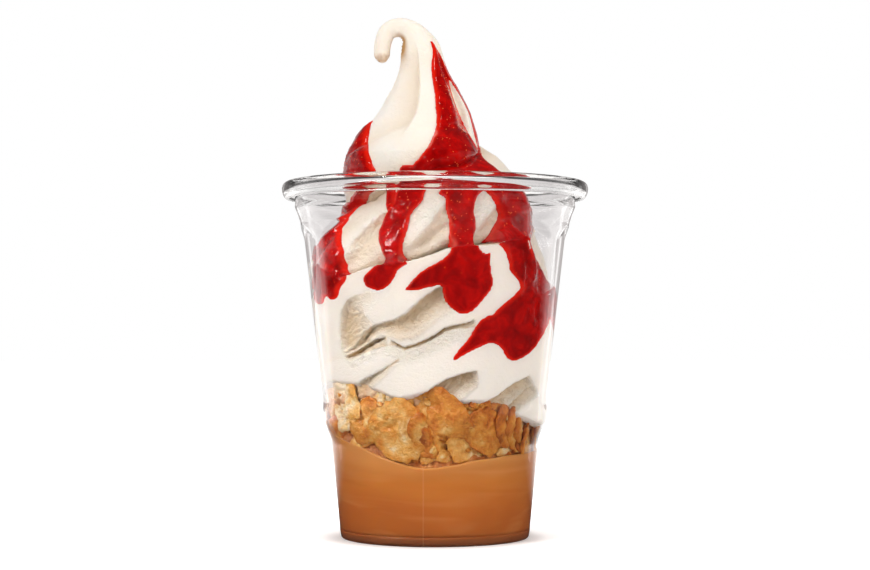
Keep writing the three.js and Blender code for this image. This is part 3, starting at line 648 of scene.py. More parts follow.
# ================================================================ CUP
def build_cup():
    w = lambda z: float(wall_radius(z))
    under = [(24.6, FLOOR_UNDER), (25.4, 2.0), (FOOT_INNER - 0.1, 0.5), (26.3, 0.06), (26.7, 0), (27.4, 0), (28.1, 0.0), (28.6, 0.12), (28.95, 0.5), (29.15, 1.2), (29.35, 2.4)]
    side_z = list(np.arange(4, 28, 1.5)) + list(np.arange(28, 44, 0.55)) + list(np.arange(44, 90, 1.6)) + list(np.arange(90, 97.3, 0.4))
    outer = [(w(z), z) for z in side_z]
    band = [(42.05, 98.3), (42.5, 99.7), (42.95, 100.8), (43.3, 101.6), (43.5, 102.3), (43.42, 102.8), (43.36, 103.3), (43.42, 104.2), (43.5, 105.2), (43.58, 106.2), (43.66, 107.0), (43.85, 107.6)]
    # rolled lip: out, down and under
    lip = [(44.3, 108.1), (44.9, 108.35), (45.6, 108.3), (46.1, 107.95), (46.35, 107.3), (46.3, 106.5), (45.95, 105.9), (45.4, 105.55), (45.1, 105.2), (45.2, 104.75), (45.6, 104.5), (46.2, 104.7), (46.75, 105.2), (47.19, 106.0), (47.43, 107.0), (47.478, 107.9), (47.28, 108.75), (46.8, 109.4), (46.1, 109.8), (45.2, 110.0), (44.4, 109.95), (43.7, 109.6), (43.2, 109.0), (43.0, 108.3)]
    band_in = [(r - WALL, z) for r, z in reversed(band[1:])]
    inner = [(w(z) - WALL, z) for z in reversed(side_z) if z > 5.0]
    floor = [(w(4.6) - WALL, 4.6), (w(4.2) - 0.95, 4.05), (w(3.8) - 1.45, 3.55), (w(3.4) - 2.2, 3.2), (w(3.0) - 3.2, 3.03), (24.0, FLOOR_Z), (12.0, FLOOR_Z)]
    profile = [(12.0, FLOOR_UNDER)] + under + outer + band + lip + band_in + inner + floor
    rz = np.array(profile)
    base = np.arange(0, 360, 360 / 234)
    seams = [v + d for v in (-6.5, 37.6) for d in (-1.0, -0.45, -0.2, 0, 0.2, 0.45, 1.0)]
    cols = np.unique(np.round(np.concatenate([base, np.array(seams) % 360]), 3))
    deg = wrap(cols)[None, :]
    r, z = rz[:, :1], rz[:, 1:]
    body = (r > 31.0) & (z > 30)
    rr = r * np.where(body, panelled(deg, z), 1.0)
    low = smooth(2, 4, z) * (1 - smooth(26, 30, z)) * (np.arange(len(rz))[:, None] < len(under) + len(outer) + 2)
    for s in (-6.5, 37.6):
        rr = rr + 0.09 * bell(deg, s, 0.28) * low
    # a little unevenness from forming
    rr = rr + 0.05 * noise(np.sin(deg * RAD) * 3, np.cos(deg * RAD) * 3, z * 0.05) * smooth(6, 12, z) * (1 - smooth(84, 95, z))
    pts = np.stack([rr * np.sin(deg * RAD), -rr * np.cos(deg * RAD), np.broadcast_to(z, rr.shape)], -1)
    verts, faces = closed_rings(pts, [[0, 0, FLOOR_UNDER]], [[0, 0, FLOOR_Z]])
    ob = new_object("cup_wall", verts, faces, replaces=("cup",))
    m, nt, b = material("clear_plastic")
    b.inputs["Transmission Weight"].default_value = 1.0
    b.inputs["IOR"].default_value = 1.5
    haze = noise_tex(nt, 70, 2.0)
    col = ramp(nt, haze, [(0.3, (0.985, 0.985, 0.985)), (0.7, (0.995, 0.997, 0.998))])
    nt.links.new(col, b.inputs["Base Color"])
    rough = math_node(nt, "MULTIPLY", noise_tex(nt, 160, 2.0), 0.012)
    nt.links.new(rough, b.inputs["Roughness"])
    # lamps shine through the thin wall
    path = nt.nodes.new("ShaderNodeLightPath")
    clear = nt.nodes.new("ShaderNodeBsdfTransparent")
    clear.inputs["Color"].default_value = (1.0, 1.0, 1.0, 1)
    both = nt.nodes.new("ShaderNodeMixShader")
    nt.links.new(path.outputs["Is Shadow Ray"], both.inputs[0])
    nt.links.new(b.outputs[0], both.inputs[1])
    nt.links.new(clear.outputs[0], both.inputs[2])
    out = [n for n in nt.nodes if n.type == "OUTPUT_MATERIAL"][0]
    nt.links.new(both.outputs[0], out.inputs["Surface"])
    ob.data.materials.append(m)
    return ob


# ================================================================ ICE CREAM
def build_ice():
    front_cols = np.linspace(-76, 76, 256)
    back_cols = np.linspace(76, 284, 58)[1:-1]
    deg = np.concatenate([front_cols, back_cols])[None, :]
    cols = deg.shape[1]
    body = np.arange(0, 1, 1 / 176.0)
    upper = list(np.arange(106.2, 126, 0.5)) + list(np.arange(126, 145, 0.75)) + list(np.arange(145, STATION_END - 2.4, 0.55)) + [STATION_END - f for f in (2.2, 1.7, 1.25, 0.85, 0.5, 0.2)]
    low = ice_bottom(deg)
    rows = [mix(low, 106.0, t) for t in body] + [np.full_like(deg, s) for s in upper]
    s = np.vstack(rows)
    d = np.broadcast_to(deg, s.shape)
    r, dark, contact, cover = ice_surface(d, s)
    pts = placed(d, s, r)
    # underside rows
    shares = [0.0, 0.3, 0.6, 0.85]
    under = []
    for sh in shares[1:]:
        z = ice_bottom(deg, sh) + 0.6 * noise(np.cos(deg * RAD) * 4 * sh, np.sin(deg * RAD) * 4 * sh, 9.0)
        rr = sh * (inside_radius(deg, z) - 1.0)
        under.append(np.stack([rr * np.sin(deg * RAD), -rr * np.cos(deg * RAD), z], -1)[0])
    grid = np.concatenate([np.stack(under), pts])
    end = CURL_P[-1]
    verts, faces = closed_rings(grid, [[0, 0, 43.0]], [[end[0], 0, end[1] - 0.25]])
    ob = new_object("ice_cream_swirl", verts, faces, replaces=("ice_cream",))
    k = len(under)
    def full(f, fill=0.0):
        return np.concatenate([np.full((k, cols), fill), f]).ravel().tolist() + [fill, fill]
    a = wrap(d)
    # warm shade inside the curl and at the end of the tip
    inner = 1.3 * bell(s, TIP_Z + 10.0, 6.5) * smooth(-165, -120, a) * (1 - smooth(-62, -28, a))
    tip = smooth(STATION_END - 3.4, STATION_END - 0.8, s) * (0.6 + 0.4 * noise(np.sin(d * RAD) * 2, np.cos(d * RAD) * 2, s))
    add_field(ob, "shade", full(clamp(dark, 0, 2)), full(contact), full(clamp(inner + tip, 0, 1)))
    m, nt, b = material("soft_ice_cream")
    f = field(nt, "shade")
    patches = noise_tex(nt, 45, 3.0)
    base = ramp(nt, patches, [(0.32, lin(247, 238, 225)), (0.55, lin(250, 243, 232)), (0.72, lin(253, 248, 240))])
    # painted shade: the darkness field tints creases, hollows and pits tan, where they fall into shade
    tan = ramp(nt, noise_tex(nt, 120, 3.0), [(0.35, lin(206, 170, 118)), (0.65, lin(224, 194, 148))])
    deep = math_node(nt, "MULTIPLY", math_node(nt, "POWER", f[0], 0.9), 0.8, True)
    c = mix_colour(nt, deep, base, tan)
    # painted shade: values above 1 in the field mark the crease lines, drawn dark ochre
    crease_line_shade = math_node(nt, "MULTIPLY", math_node(nt, "SUBTRACT", f[0], 1.0), 1.2, True)
    c = mix_colour(nt, crease_line_shade, c, lin(158, 108, 50))
    # painted light: where the ice presses on the plastic its colour is pulled to an even, cooler white, standing in
    # for how it looks lit through the wall
    c = mix_colour(nt, math_node(nt, "MULTIPLY", f[1], 0.8), c, lin(250, 244, 237))
    c = mix_colour(nt, math_node(nt, "MULTIPLY", f[2], 1.0, True), c, lin(186, 140, 84))
    nt.links.new(c, b.inputs["Base Color"])
    b.inputs["Roughness"].default_value = 0.5
    b.inputs["Specular IOR Level"].default_value = 0.35
    b.inputs["Subsurface Weight"].default_value = 0.2
    b.inputs["Subsurface Radius"].default_value = (1.0, 0.72, 0.45)
    b.inputs["Subsurface Scale"].default_value = 0.0014
    h1 = noise_tex(nt, 1900, 3.0, 0.6, (1, 1, 1.3))
    h2 = noise_tex(nt, 700, 3.0, 0.6, (1, 1, 1.5), 0.5)
    h = math_node(nt, "ADD", math_node(nt, "MULTIPLY", h1, 0.5), math_node(nt, "MULTIPLY", h2, 1.0))
    free = math_node(nt, "SUBTRACT", 1.0, math_node(nt, "MULTIPLY", f[1], 0.8))
    tc = nt.nodes.new("ShaderNodeTexCoord")
    up = nt.nodes.new("ShaderNodeSeparateXYZ")
    nt.links.new(tc.outputs["Object"], up.inputs[0])
    calm = ramp(nt, up.outputs[2], [(0.104, (1, 1, 1)), (0.122, (0.3, 0.3, 0.3))])
    bump(nt, b, math_node(nt, "MULTIPLY", math_node(nt, "MULTIPLY", h, free), calm), 1.0, 0.0009)
    ob.data.materials.append(m)
    return ob


# ================================================================ SAUCE
def sauce_profile(d, edge=2.1):
    t = clamp(d / edge, 0, 1)
    return np.sqrt(np.maximum(0, 1 - (1 - t) ** 2))


def build_sauce():
    cols, rows = 430, 312
    deg = np.linspace(-125, 150, cols)[None, :]
    s = np.concatenate([np.linspace(53, 118, int(rows * 0.68)), np.linspace(118.2, 153.5, rows - int(rows * 0.68))])[:, None]
    d, s = np.broadcast_arrays(deg, s)
    r, dark, contact, cover = ice_surface(d, s)
    a = wrap(d)
    # the streams bridge the creases, and pool on the ledges they run over
    k = 24
    wide = np.stack([np.roll(r, i, axis=0) for i in range(-k, k + 1, 2)]).max(0)
    bridged = np.stack([np.roll(wide, i, axis=0) for i in range(-k, k + 1, 2)]).min(0)
    for i in range(1, 30):
        below = np.vstack([r[:1].repeat(i, 0), r[:-i]])
        rise = s - np.vstack([s[:1].repeat(i, 0), s[:-i]])
        bridged = np.maximum(bridged, below - 1.9 * rise)
    for _ in range(4):
        bridged = (np.roll(bridged, 3, 0) + bridged + np.roll(bridged, -3, 0)) / 3
    bridged = np.maximum(bridged, r)
    bridged = mix(r, bridged, 0.95 * (1 - smooth(101, 107, s)) * smooth(54, 57, s))
    cover, _, _ = sauce_depth(d, s, bridged)
    bridged = mix(r, bridged, smooth(0.0, 2.0, cover))
    px, pz = front(*np.moveaxis(placed(d, s, bridged), -1, 0))
    thick = 1.75 + 0.45 * noise(px * 0.14, pz * 0.14, 6.0) + 0.25 * noise(px * 0.5, pz * 0.5, 1.0)
    # fuller drip ends
    for cx, cz, w in ((-17.0, 79.5, 5.0), (6.0, 72.5, 6.0), (-31.5, 75.5, 5), (24, 64, 8)):
        thick = thick + 0.7 * np.exp(-((px - cx) ** 2 + (pz - cz) ** 2) / (w * w))
    thick = thick * table(s, [(50, 1.0), (118, 1.0), (135, 0.85), (150, 0.6)])
    thick = thick * np.where(s > 112, 1 - 0.82 * smooth(34, 56, a) * smooth(112, 120, s), 1.0)
    prof = sauce_profile(cover)
    top = bridged + thick * prof
    room = room_at(a, s)
    top = np.where(s < 106, np.minimum(top, room), top)
    under = r - 0.55
    top = np.where(cover > 0, top, r - 0.35)
    on = cover > -0.35
    # drop specks: keep faces where all corners are on
    P = placed(d, s, top).reshape(-1, 3)
    Q = placed(d, s, under).reshape(-1, 3)
    n_r, n_c = d.shape
    i, j = np.meshgrid(np.arange(n_r - 1), np.arange(n_c - 1), indexing="ij")
    quads = np.stack([i * n_c + j, i * n_c + j + 1, (i + 1) * n_c + j + 1, (i + 1) * n_c + j], -1).reshape(-1, 4)
    flag = on.ravel()
    quads = quads[flag[quads].all(1)]
    # rim of the kept region, to close the body
    edges = {}
    for q in quads:
        for u, v in ((q[0], q[1]), (q[1], q[2]), (q[2], q[3]), (q[3], q[0])):
            if (v, u) in edges:
                del edges[(v, u)]
            else:
                edges[(u, v)] = 1
    used = np.unique(quads)
    index = {int(v): n for n, v in enumerate(used)}
    m_ = len(used)
    look = np.zeros(n_r * n_c, int)
    look[used] = np.arange(m_)
    qt = look[quads]
    qb = look[quads][:, ::-1] + m_
    side = [(look[v], look[u], look[u] + m_, look[v] + m_) for (u, v) in edges]
    verts = np.vstack([P[used], Q[used]])
    faces = [tuple(f) for f in qt] + [tuple(f) for f in qb] + side
    ob = new_object("strawberry_sauce_streams", verts, faces, replaces=("strawberry_sauce",))
    thin = (1 - smooth(0.1, 1.3, cover)).ravel()[used]
    pressed = (1 - smooth(0.0, 0.3, room - top)).ravel()[used] * (s < 106).ravel()[used]
    add_field(ob, "shade", np.concatenate([thin, thin]), np.concatenate([pressed, pressed]), np.zeros(2 * m_))
    m, nt, b = material("strawberry_sauce")
    f = field(nt, "shade")
    cloud = noise_tex(nt, 230, 5.0, 0.62, (1, 1, 1), 0.6)
    base = ramp(nt, cloud, [(0.34, lin(136, 0, 1)), (0.5, lin(166, 1, 1)), (0.66, lin(196, 6, 2))])
    fleck = nt.nodes.new("ShaderNodeTexVoronoi")
    fleck.inputs["Scale"].default_value = 420
    tc = nt.nodes.new("ShaderNodeTexCoord")
    nt.links.new(tc.outputs["Object"], fleck.inputs["Vector"])
    spots = ramp(nt, fleck.outputs["Distance"], [(0.04, (1, 1, 1)), (0.15, (0, 0, 0))])
    keep = ramp(nt, noise_tex(nt, 260, 2.0), [(0.5, (0, 0, 0)), (0.62, (1, 1, 1))])
    spots = mix_colour(nt, 1.0, spots, keep, "MULTIPLY")
    c = mix_colour(nt, math_node(nt, "MULTIPLY", spots, 0.55), base, lin(244, 84, 24))
    edge = math_node(nt, "MULTIPLY", f[0], 0.75, True)
    c = mix_colour(nt, edge, c, lin(236, 34, 12))
    nt.links.new(c, b.inputs["Base Color"])
    rough = math_node(nt, "ADD", math_node(nt, "MULTIPLY", noise_tex(nt, 300, 2.0), 0.05), 0.05)
    nt.links.new(rough, b.inputs["Roughness"])
    b.inputs["Specular IOR Level"].default_value = 0.4
    b.inputs["Coat Weight"].default_value = 0.2
    b.inputs["Coat Roughness"].default_value = 0.02
    b.inputs["Subsurface Weight"].default_value = 0.15
    b.inputs["Subsurface Radius"].default_value = (1.0, 0.12, 0.06)
    b.inputs["Subsurface Scale"].default_value = 0.0016
    bump(nt, b, noise_tex(nt, 360, 3.0), 0.35, 0.0005)
    ob.data.materials.append(m)
    # seeds that just break the sauce's skin
    rng = np.random.default_rng(5)
    inner = np.argwhere((cover > 1.2) & (top < room - 0.3) | ((cover > 1.2) & (s > 106)))
    picks = inner[rng.choice(len(inner), 210, replace=False)]
    sv, sf = [], []
    for a_, b_ in picks:
        p = placed(d[a_, b_], s[a_, b_], top[a_, b_] - 0.04)
        p2 = placed(d[a_, b_], s[a_, b_], top[a_, b_] + 1.0)
        nrm = (p2 - p) / np.linalg.norm(p2 - p)
        t1 = np.cross(nrm, rng.normal(size=3))
        t1 /= np.linalg.norm(t1)
        t2 = np.cross(nrm, t1)
        L, W, H = rng.uniform(0.26, 0.4), rng.uniform(0.15, 0.22), 0.14
        n0 = len(sv)
        ring = []
        for h, k2 in ((-1, 0.0), (-0.4, 0.92), (0.4, 0.92), (1, 0.0)):
            if k2 == 0:
                sv.append(p + nrm * H * h)
                ring.append([len(sv) - 1] * 8)
            else:
                ids = []
                for q_ in range(8):
                    an = q_ * math.pi / 4
                    sv.append(p + t1 * L * k2 * math.cos(an) * (1 + 0.25 * math.cos(an)) + t2 * W * k2 * math.sin(an) + nrm * H * h)
                    ids.append(len(sv) - 1)
                ring.append(ids)
        for u, v in zip(ring[:-1], ring[1:]):
            for q_ in range(8):
                w_ = (q_ + 1) % 8
                f4 = [u[q_], u[w_], v[w_], v[q_]]
                f4 = list(dict.fromkeys(f4))
                if len(f4) > 2:
                    sf.append(tuple(f4))
    seeds = new_object("strawberry_seeds", np.array(sv), sf)
    m2, nt, b = material("strawberry_seed")
    nt.links.new(ramp(nt, noise_tex(nt, 200, 2.0), [(0.35, lin(206, 44, 12)), (0.65, lin(240, 104, 34))]), b.inputs["Base Color"])
    b.inputs["Roughness"].default_value = 0.4
    seeds.data.materials.append(m2)
    return ob


# ================================================================ CARAMEL
def build_caramel():
    cols = 240
    deg = (np.arange(cols) * 360 / cols - 180)[None, :]
    rows = []
    floor_z = FLOOR_Z - 0.12
    for rr in (8.0, 16.0, 23.0, 25.8):
        rows.append((np.full_like(deg, rr), np.full_like(deg, floor_z)))
    # it fills the hollow foot ring, with a fine groove where the ring meets the floor
    for rr, z in ((26.25, 2.6), (26.6, 1.4), (26.9, 0.75), (27.6, 0.55), (28.1, 0.7), (28.35, 1.2), (28.6, 2.2), (28.68, 2.55), (28.45, 2.72), (28.3, 2.88), (28.45, 3.02), (28.72, 3.2), (28.78, 3.7), (28.84, 4.2)):
        rows.append((np.full_like(deg, rr), np.full_like(deg, z)))
    top = caramel_top(deg)
    for t in np.linspace(0, 1, 48)[1:]:
        z = mix(4.6, top, t)
        rows.append((inside_radius(deg, z) + INTO_WALL, z))
    meniscus = top + 0.0
    for share, dz in ((0.985, 0.15), (0.95, -0.5), (0.88, -1.0), (0.7, 0), (0.45, 0), (0.2, 0)):
        z = caramel_top(deg, share) + dz + 0.35 * noise(np.cos(deg * RAD) * share * 6, np.sin(deg * RAD) * share * 6, 3.0) * (share < 0.97)
        rows.append((share * inside_radius(deg, top), z))
    r = np.vstack([a for a, _ in rows])
    z = np.vstack([b for _, b in rows])
    dg = np.broadcast_to(deg, r.shape)
    pts = np.stack([r * np.sin(dg * RAD), -r * np.cos(dg * RAD), z], -1)
    verts, faces = closed_rings(pts, [[0, 0, floor_z]], [[0, 0, 27.0]])
    ob = new_object("caramel_syrup", verts, faces, replaces=("caramel",))
    m, nt, b = material("caramel_syrup")
    tc = nt.nodes.new("ShaderNodeTexCoord")
    sep = nt.nodes.new("ShaderNodeSeparateXYZ")
    nt.links.new(tc.outputs["Object"], sep.inputs[0])
    height = math_node(nt, "MULTIPLY", sep.outputs[2], 1 / 0.034)
    waves = math_node(nt, "SUBTRACT", noise_tex(nt, 28, 2.0, 0.5, (1, 1, 3.2), 0.8), 0.5)
    h2 = math_node(nt, "ADD", height, math_node(nt, "MULTIPLY", waves, 0.42))
    base = ramp(nt, h2, [(0.06, lin(182, 102, 40)), (0.30, lin(196, 112, 42)), (0.55, lin(210, 132, 52)), (0.82, lin(220, 156, 86))])
    streak = ramp(nt, noise_tex(nt, 26, 2.0, 0.5, (1, 1, 6), 1.0), [(0.50, (0, 0, 0)), (0.72, (1, 1, 1))])
    c = mix_colour(nt, math_node(nt, "MULTIPLY", streak, 0.28), base, lin(236, 170, 104))
    dim = ramp(nt, noise_tex(nt, 20, 2.0, 0.5, (1, 1, 5), 0.8), [(0.50, (0, 0, 0)), (0.72, (1, 1, 1))])
    c = mix_colour(nt, math_node(nt, "MULTIPLY", dim, 0.3), c, lin(160, 84, 30))
    # painted shade: darker towards the left and right sides, where the caramel turns away from the front
    side_shade = ramp(nt, math_node(nt, "MULTIPLY", math_node(nt, "ABSOLUTE", sep.outputs[0]), 1 / 0.032), [(0.55, (0, 0, 0)), (1.0, (1, 1, 1))])
    c = mix_colour(nt, math_node(nt, "MULTIPLY", side_shade, 0.45), c, lin(158, 78, 28))
    # painted shadow mask: the lowest millimetre or two, darkened below as a contact shadow
    foot = ramp(nt, sep.outputs[2], [(0.0010, (1, 1, 1)), (0.0019, (0, 0, 0))])
    heel = ramp(nt, sep.outputs[2], [(0.0024, (1, 1, 1)), (0.0029, (0, 0, 0))])
    c = mix_colour(nt, math_node(nt, "MULTIPLY", heel, 0.5), c, lin(172, 108, 80))
    # painted shade: the groove where the foot ring meets the floor is darkened as well as cut
    groove_shade = ramp(nt, sep.outputs[2], [(0.0024, (0, 0, 0)), (0.0028, (1, 1, 1)), (0.0031, (1, 1, 1)), (0.0036, (0, 0, 0))])
    c = mix_colour(nt, math_node(nt, "MULTIPLY", groove_shade, 0.6), c, lin(92, 44, 18))
    # painted shadow: the lowest millimetre or two turned dark brown, a contact shadow where the cup stands on the
    # floor
    c = mix_colour(nt, math_node(nt, "MULTIPLY", foot, 0.75), c, lin(92, 58, 40))
    # painted highlight: a pale line where the plastic's seam catches a little light
    across = math_node(nt, "ADD", math_node(nt, "MULTIPLY", sep.outputs[0], 100.0), 0.5)
    seam_glint = ramp(nt, across, [(0.135, (0, 0, 0)), (0.155, (1, 1, 1)), (0.175, (0, 0, 0))])
    seam_glint = math_node(nt, "MULTIPLY", seam_glint, math_node(nt, "LESS_THAN", sep.outputs[1], 0.0))
    c = mix_colour(nt, math_node(nt, "MULTIPLY", seam_glint, 0.22), c, lin(240, 190, 140))
    nt.links.new(c, b.inputs["Base Color"])
    b.inputs["Roughness"].default_value = 0.28
    b.inputs["Subsurface Weight"].default_value = 0.3
    b.inputs["Subsurface Radius"].default_value = (1.0, 0.45, 0.18)
    b.inputs["Subsurface Scale"].default_value = 0.003
    bump(nt, b, noise_tex(nt, 160, 3.0, 0.5, (1, 1, 3)), 0.1, 0.0005)
    ob.data.materials.append(m)
    return ob


# ================================================================ FLAKES
def flake_mesh(rng, size, aspect, bend, thick, fine):
    """A toasted crisp, as a curved puffy disc: (vertices, faces, toast field)."""
    radial, rho = (56, np.array([0.0, 0.12, 0.24, 0.36, 0.47, 0.58, 0.68, 0.77, 0.85, 0.92, 0.97, 1.0])) if fine else (26, np.array([0.0, 0.25, 0.46, 0.64, 0.8, 0.92, 1.0]))
    phi = np.arange(radial) * 2 * math.pi / radial
    # a broken outline: five to seven fairly straight sides, chipped
    n = int(rng.integers(5, 8))
    far = np.zeros(radial)
    for i in range(n):
        lean_ = 2 * math.pi * (i + rng.uniform(-0.28, 0.28)) / n
        far = far + (np.maximum(0.0, np.cos(phi - lean_)) / rng.uniform(0.78, 1.0)) ** 9
    out = far ** (-1 / 9)
    out = out / out.mean()
    for k, amp in ((2, 0.05), (3, 0.04), (7, 0.03), (11, 0.03), (15, 0.03), (19, 0.025), (23, 0.02)):
        out = out + amp * rng.uniform(0.4, 1.0) * np.cos(k * phi + rng.uniform(0, 6.28))
    off = rng.uniform(0, 50, 4)
    tilt = rng.uniform(-0.12, 0.12)
    sides, hills = [], []
    for sgn in (1, -1):
        rr = rho[:, None] * out[None, :]
        x = rr * np.cos(phi) * size * 0.5
        y = rr * np.sin(phi) * size * 0.5 * aspect
        t = thick * np.maximum(0.0, 1 - rho[:, None] ** 7) ** 0.5 * (0.9 + 0.6 * noise(x * 0.3 + off[0], y * 0.3, off[1]))
        # bubbles and pits of the baked surface
        hill = 1.05 * np.maximum(-0.12, noise(x * 0.38 + off[2], y * 0.38 + sgn * 3, off[0]))
        hill = hill + 0.62 * noise(x * 0.8, y * 0.8 + off[1], sgn * 2.0 + off[3]) + 0.34 * noise(x * 1.7, y * 1.7, off[3] + sgn)
        hill = hill * (1 - 0.7 * rho[:, None] ** 8)
        z = bend * (x / (size * 0.5)) ** 2 * size * 0.20 + 0.09 * size * noise(x * 0.16 + off[1], y * 0.16 + off[2], 0.5)
        z = z + tilt * y + sgn * (0.5 * t + hill)
        sides.append(np.stack([x, y, z], -1))
        hills.append(hill)
    verts, tops = [], []
    ids = np.zeros((2, len(rho), radial), int)
    for s_, grid in enumerate(sides):
        for i in range(len(rho)):
            if i == 0:
                verts.append(grid[0].mean(0))
                tops.append(hills[s_][0].mean())
                ids[s_, 0, :] = len(verts) - 1
            elif i == len(rho) - 1 and s_ == 1:
                ids[1, i] = ids[0, i]
            else:
                base = len(verts)
                verts.extend(grid[i])
                tops.extend(hills[s_][i])
                ids[s_, i] = base + np.arange(radial)
    faces = []
    for s_ in (0, 1):
        for i in range(len(rho) - 1):
            for j in range(radial):
                k = (j + 1) % radial
                f = [ids[s_, i, j], ids[s_, i + 1, j], ids[s_, i + 1, k], ids[s_, i, k]]
                if s_:
                    f = f[::-1]
                f = list(dict.fromkeys(int(v) for v in f))
                if len(f) > 2:
                    faces.append(tuple(f))
    v = np.array(verts)
    rim = np.hypot(v[:, 0] / (size * 0.5), v[:, 1] / (size * 0.5 * aspect))
    toast = clamp(0.5 + 0.35 * smooth(0.7, 1.0, rim) + 0.55 * fbm(v[:, 0] * 0.2 + off[0], v[:, 1] * 0.2, off[2]), 0, 1)
    return v, faces, toast, np.array(tops)


# front crisps: across, height (front elevation), size, aspect, turn in the plane,
# lean about the upright, lean back, bend, how deep behind the wall, toastedness
HERO = [
    (-28.0, 42.0, 11.5, 1.1, 80, -8, 0, 0.4, 0.5, 0.14, 2.4),
    (-29.5, 37.0, 10.0, 1.1, 60, 10, 0, 0.4, 1.8, -0.05, 2.0),
    (-22.4, 35.0, 14.0, 0.86, 66, 8, -6, 0.5, 0.6, 0.46, 2.0),
    (-21.0, 42.0, 11.0, 0.8, 20, 0, -8, 0.4, 1.8, 0.02, 2.0),
    (-11.6, 33.0, 20.0, 0.84, -62, 4, 6, 0.5, 0.2, 0.33, 2.0),
    (-15.0, 39.5, 13.5, 0.72, 30, -6, -10, 0.4, 1.9, 0.16, 2.0),
    (3.2, 37.6, 20.5, 0.62, -33, -12, 8, -0.6, 0.2, 0.55, 2.0),
    (16.6, 32.4, 15.5, 0.86, -50, 10, -4, 0.5, 0.7, 0.66, 2.0),
    (-4.0, 31.6, 13.5, 0.72, -62, 40, 6, 0.4, 0.5, 0.55, 3.0),
    (-1.0, 29.4, 12.5, 0.72, -60, 44, 4, 0.4, 1.4, 0.66, 3.0),
    (3.4, 29.0, 11.5, 0.76, -56, 38, 0, 0.3, 2.2, 0.50, 2.8),
    (12.0, 27.6, 16.5, 0.52, -8, 12, 12, 0.4, 0.6, 0.36, 2.2),
    (8.6, 31.6, 10.0, 0.7, -34, 20, 10, 0.4, 1.9, 0.50, 2.2),
    (22.4, 34.0, 13.0, 0.66, -66, 40, 4, 0.4, 0.6, 0.66, 2.8),
    (25.6, 33.0, 12.5, 0.66, -68, 42, 0, 0.4, 1.3, 0.58, 2.8),
    (28.4, 33.6, 11.5, 0.70, -66, 40, 0, 0.3, 2.2, 0.52, 2.6),
    (24.4, 26.6, 8.5, 0.45, 16, 10, 10, 0.3, 0.5, 0.20, 2.0),
    (-1.6, 25.4, 7.5, 0.6, 40, 12, 14, 0.3, 0.6, 0.30, 1.8),
    (4.4, 24.8, 6.5, 0.6, 10, 12, 10, 0.3, 0.8, 0.36, 1.8),
    (-15.6, 27.4, 8.0, 0.7, -30, 6, 10, 0.3, 1.0, 0.34, 1.8),
    (13.0, 39.2, 11.0, 0.5, 8, 0, 20, 0.3, 2.2, 0.62, 2.0),
    (18.5, 38.6, 10.0, 0.5, 14, 4, 18, 0.3, 2.4, 0.66, 2.0),
    (-5.0, 41.6, 10.0, 0.5, -10, 4, 18, 0.3, 2.6, 0.35, 2.0),
]


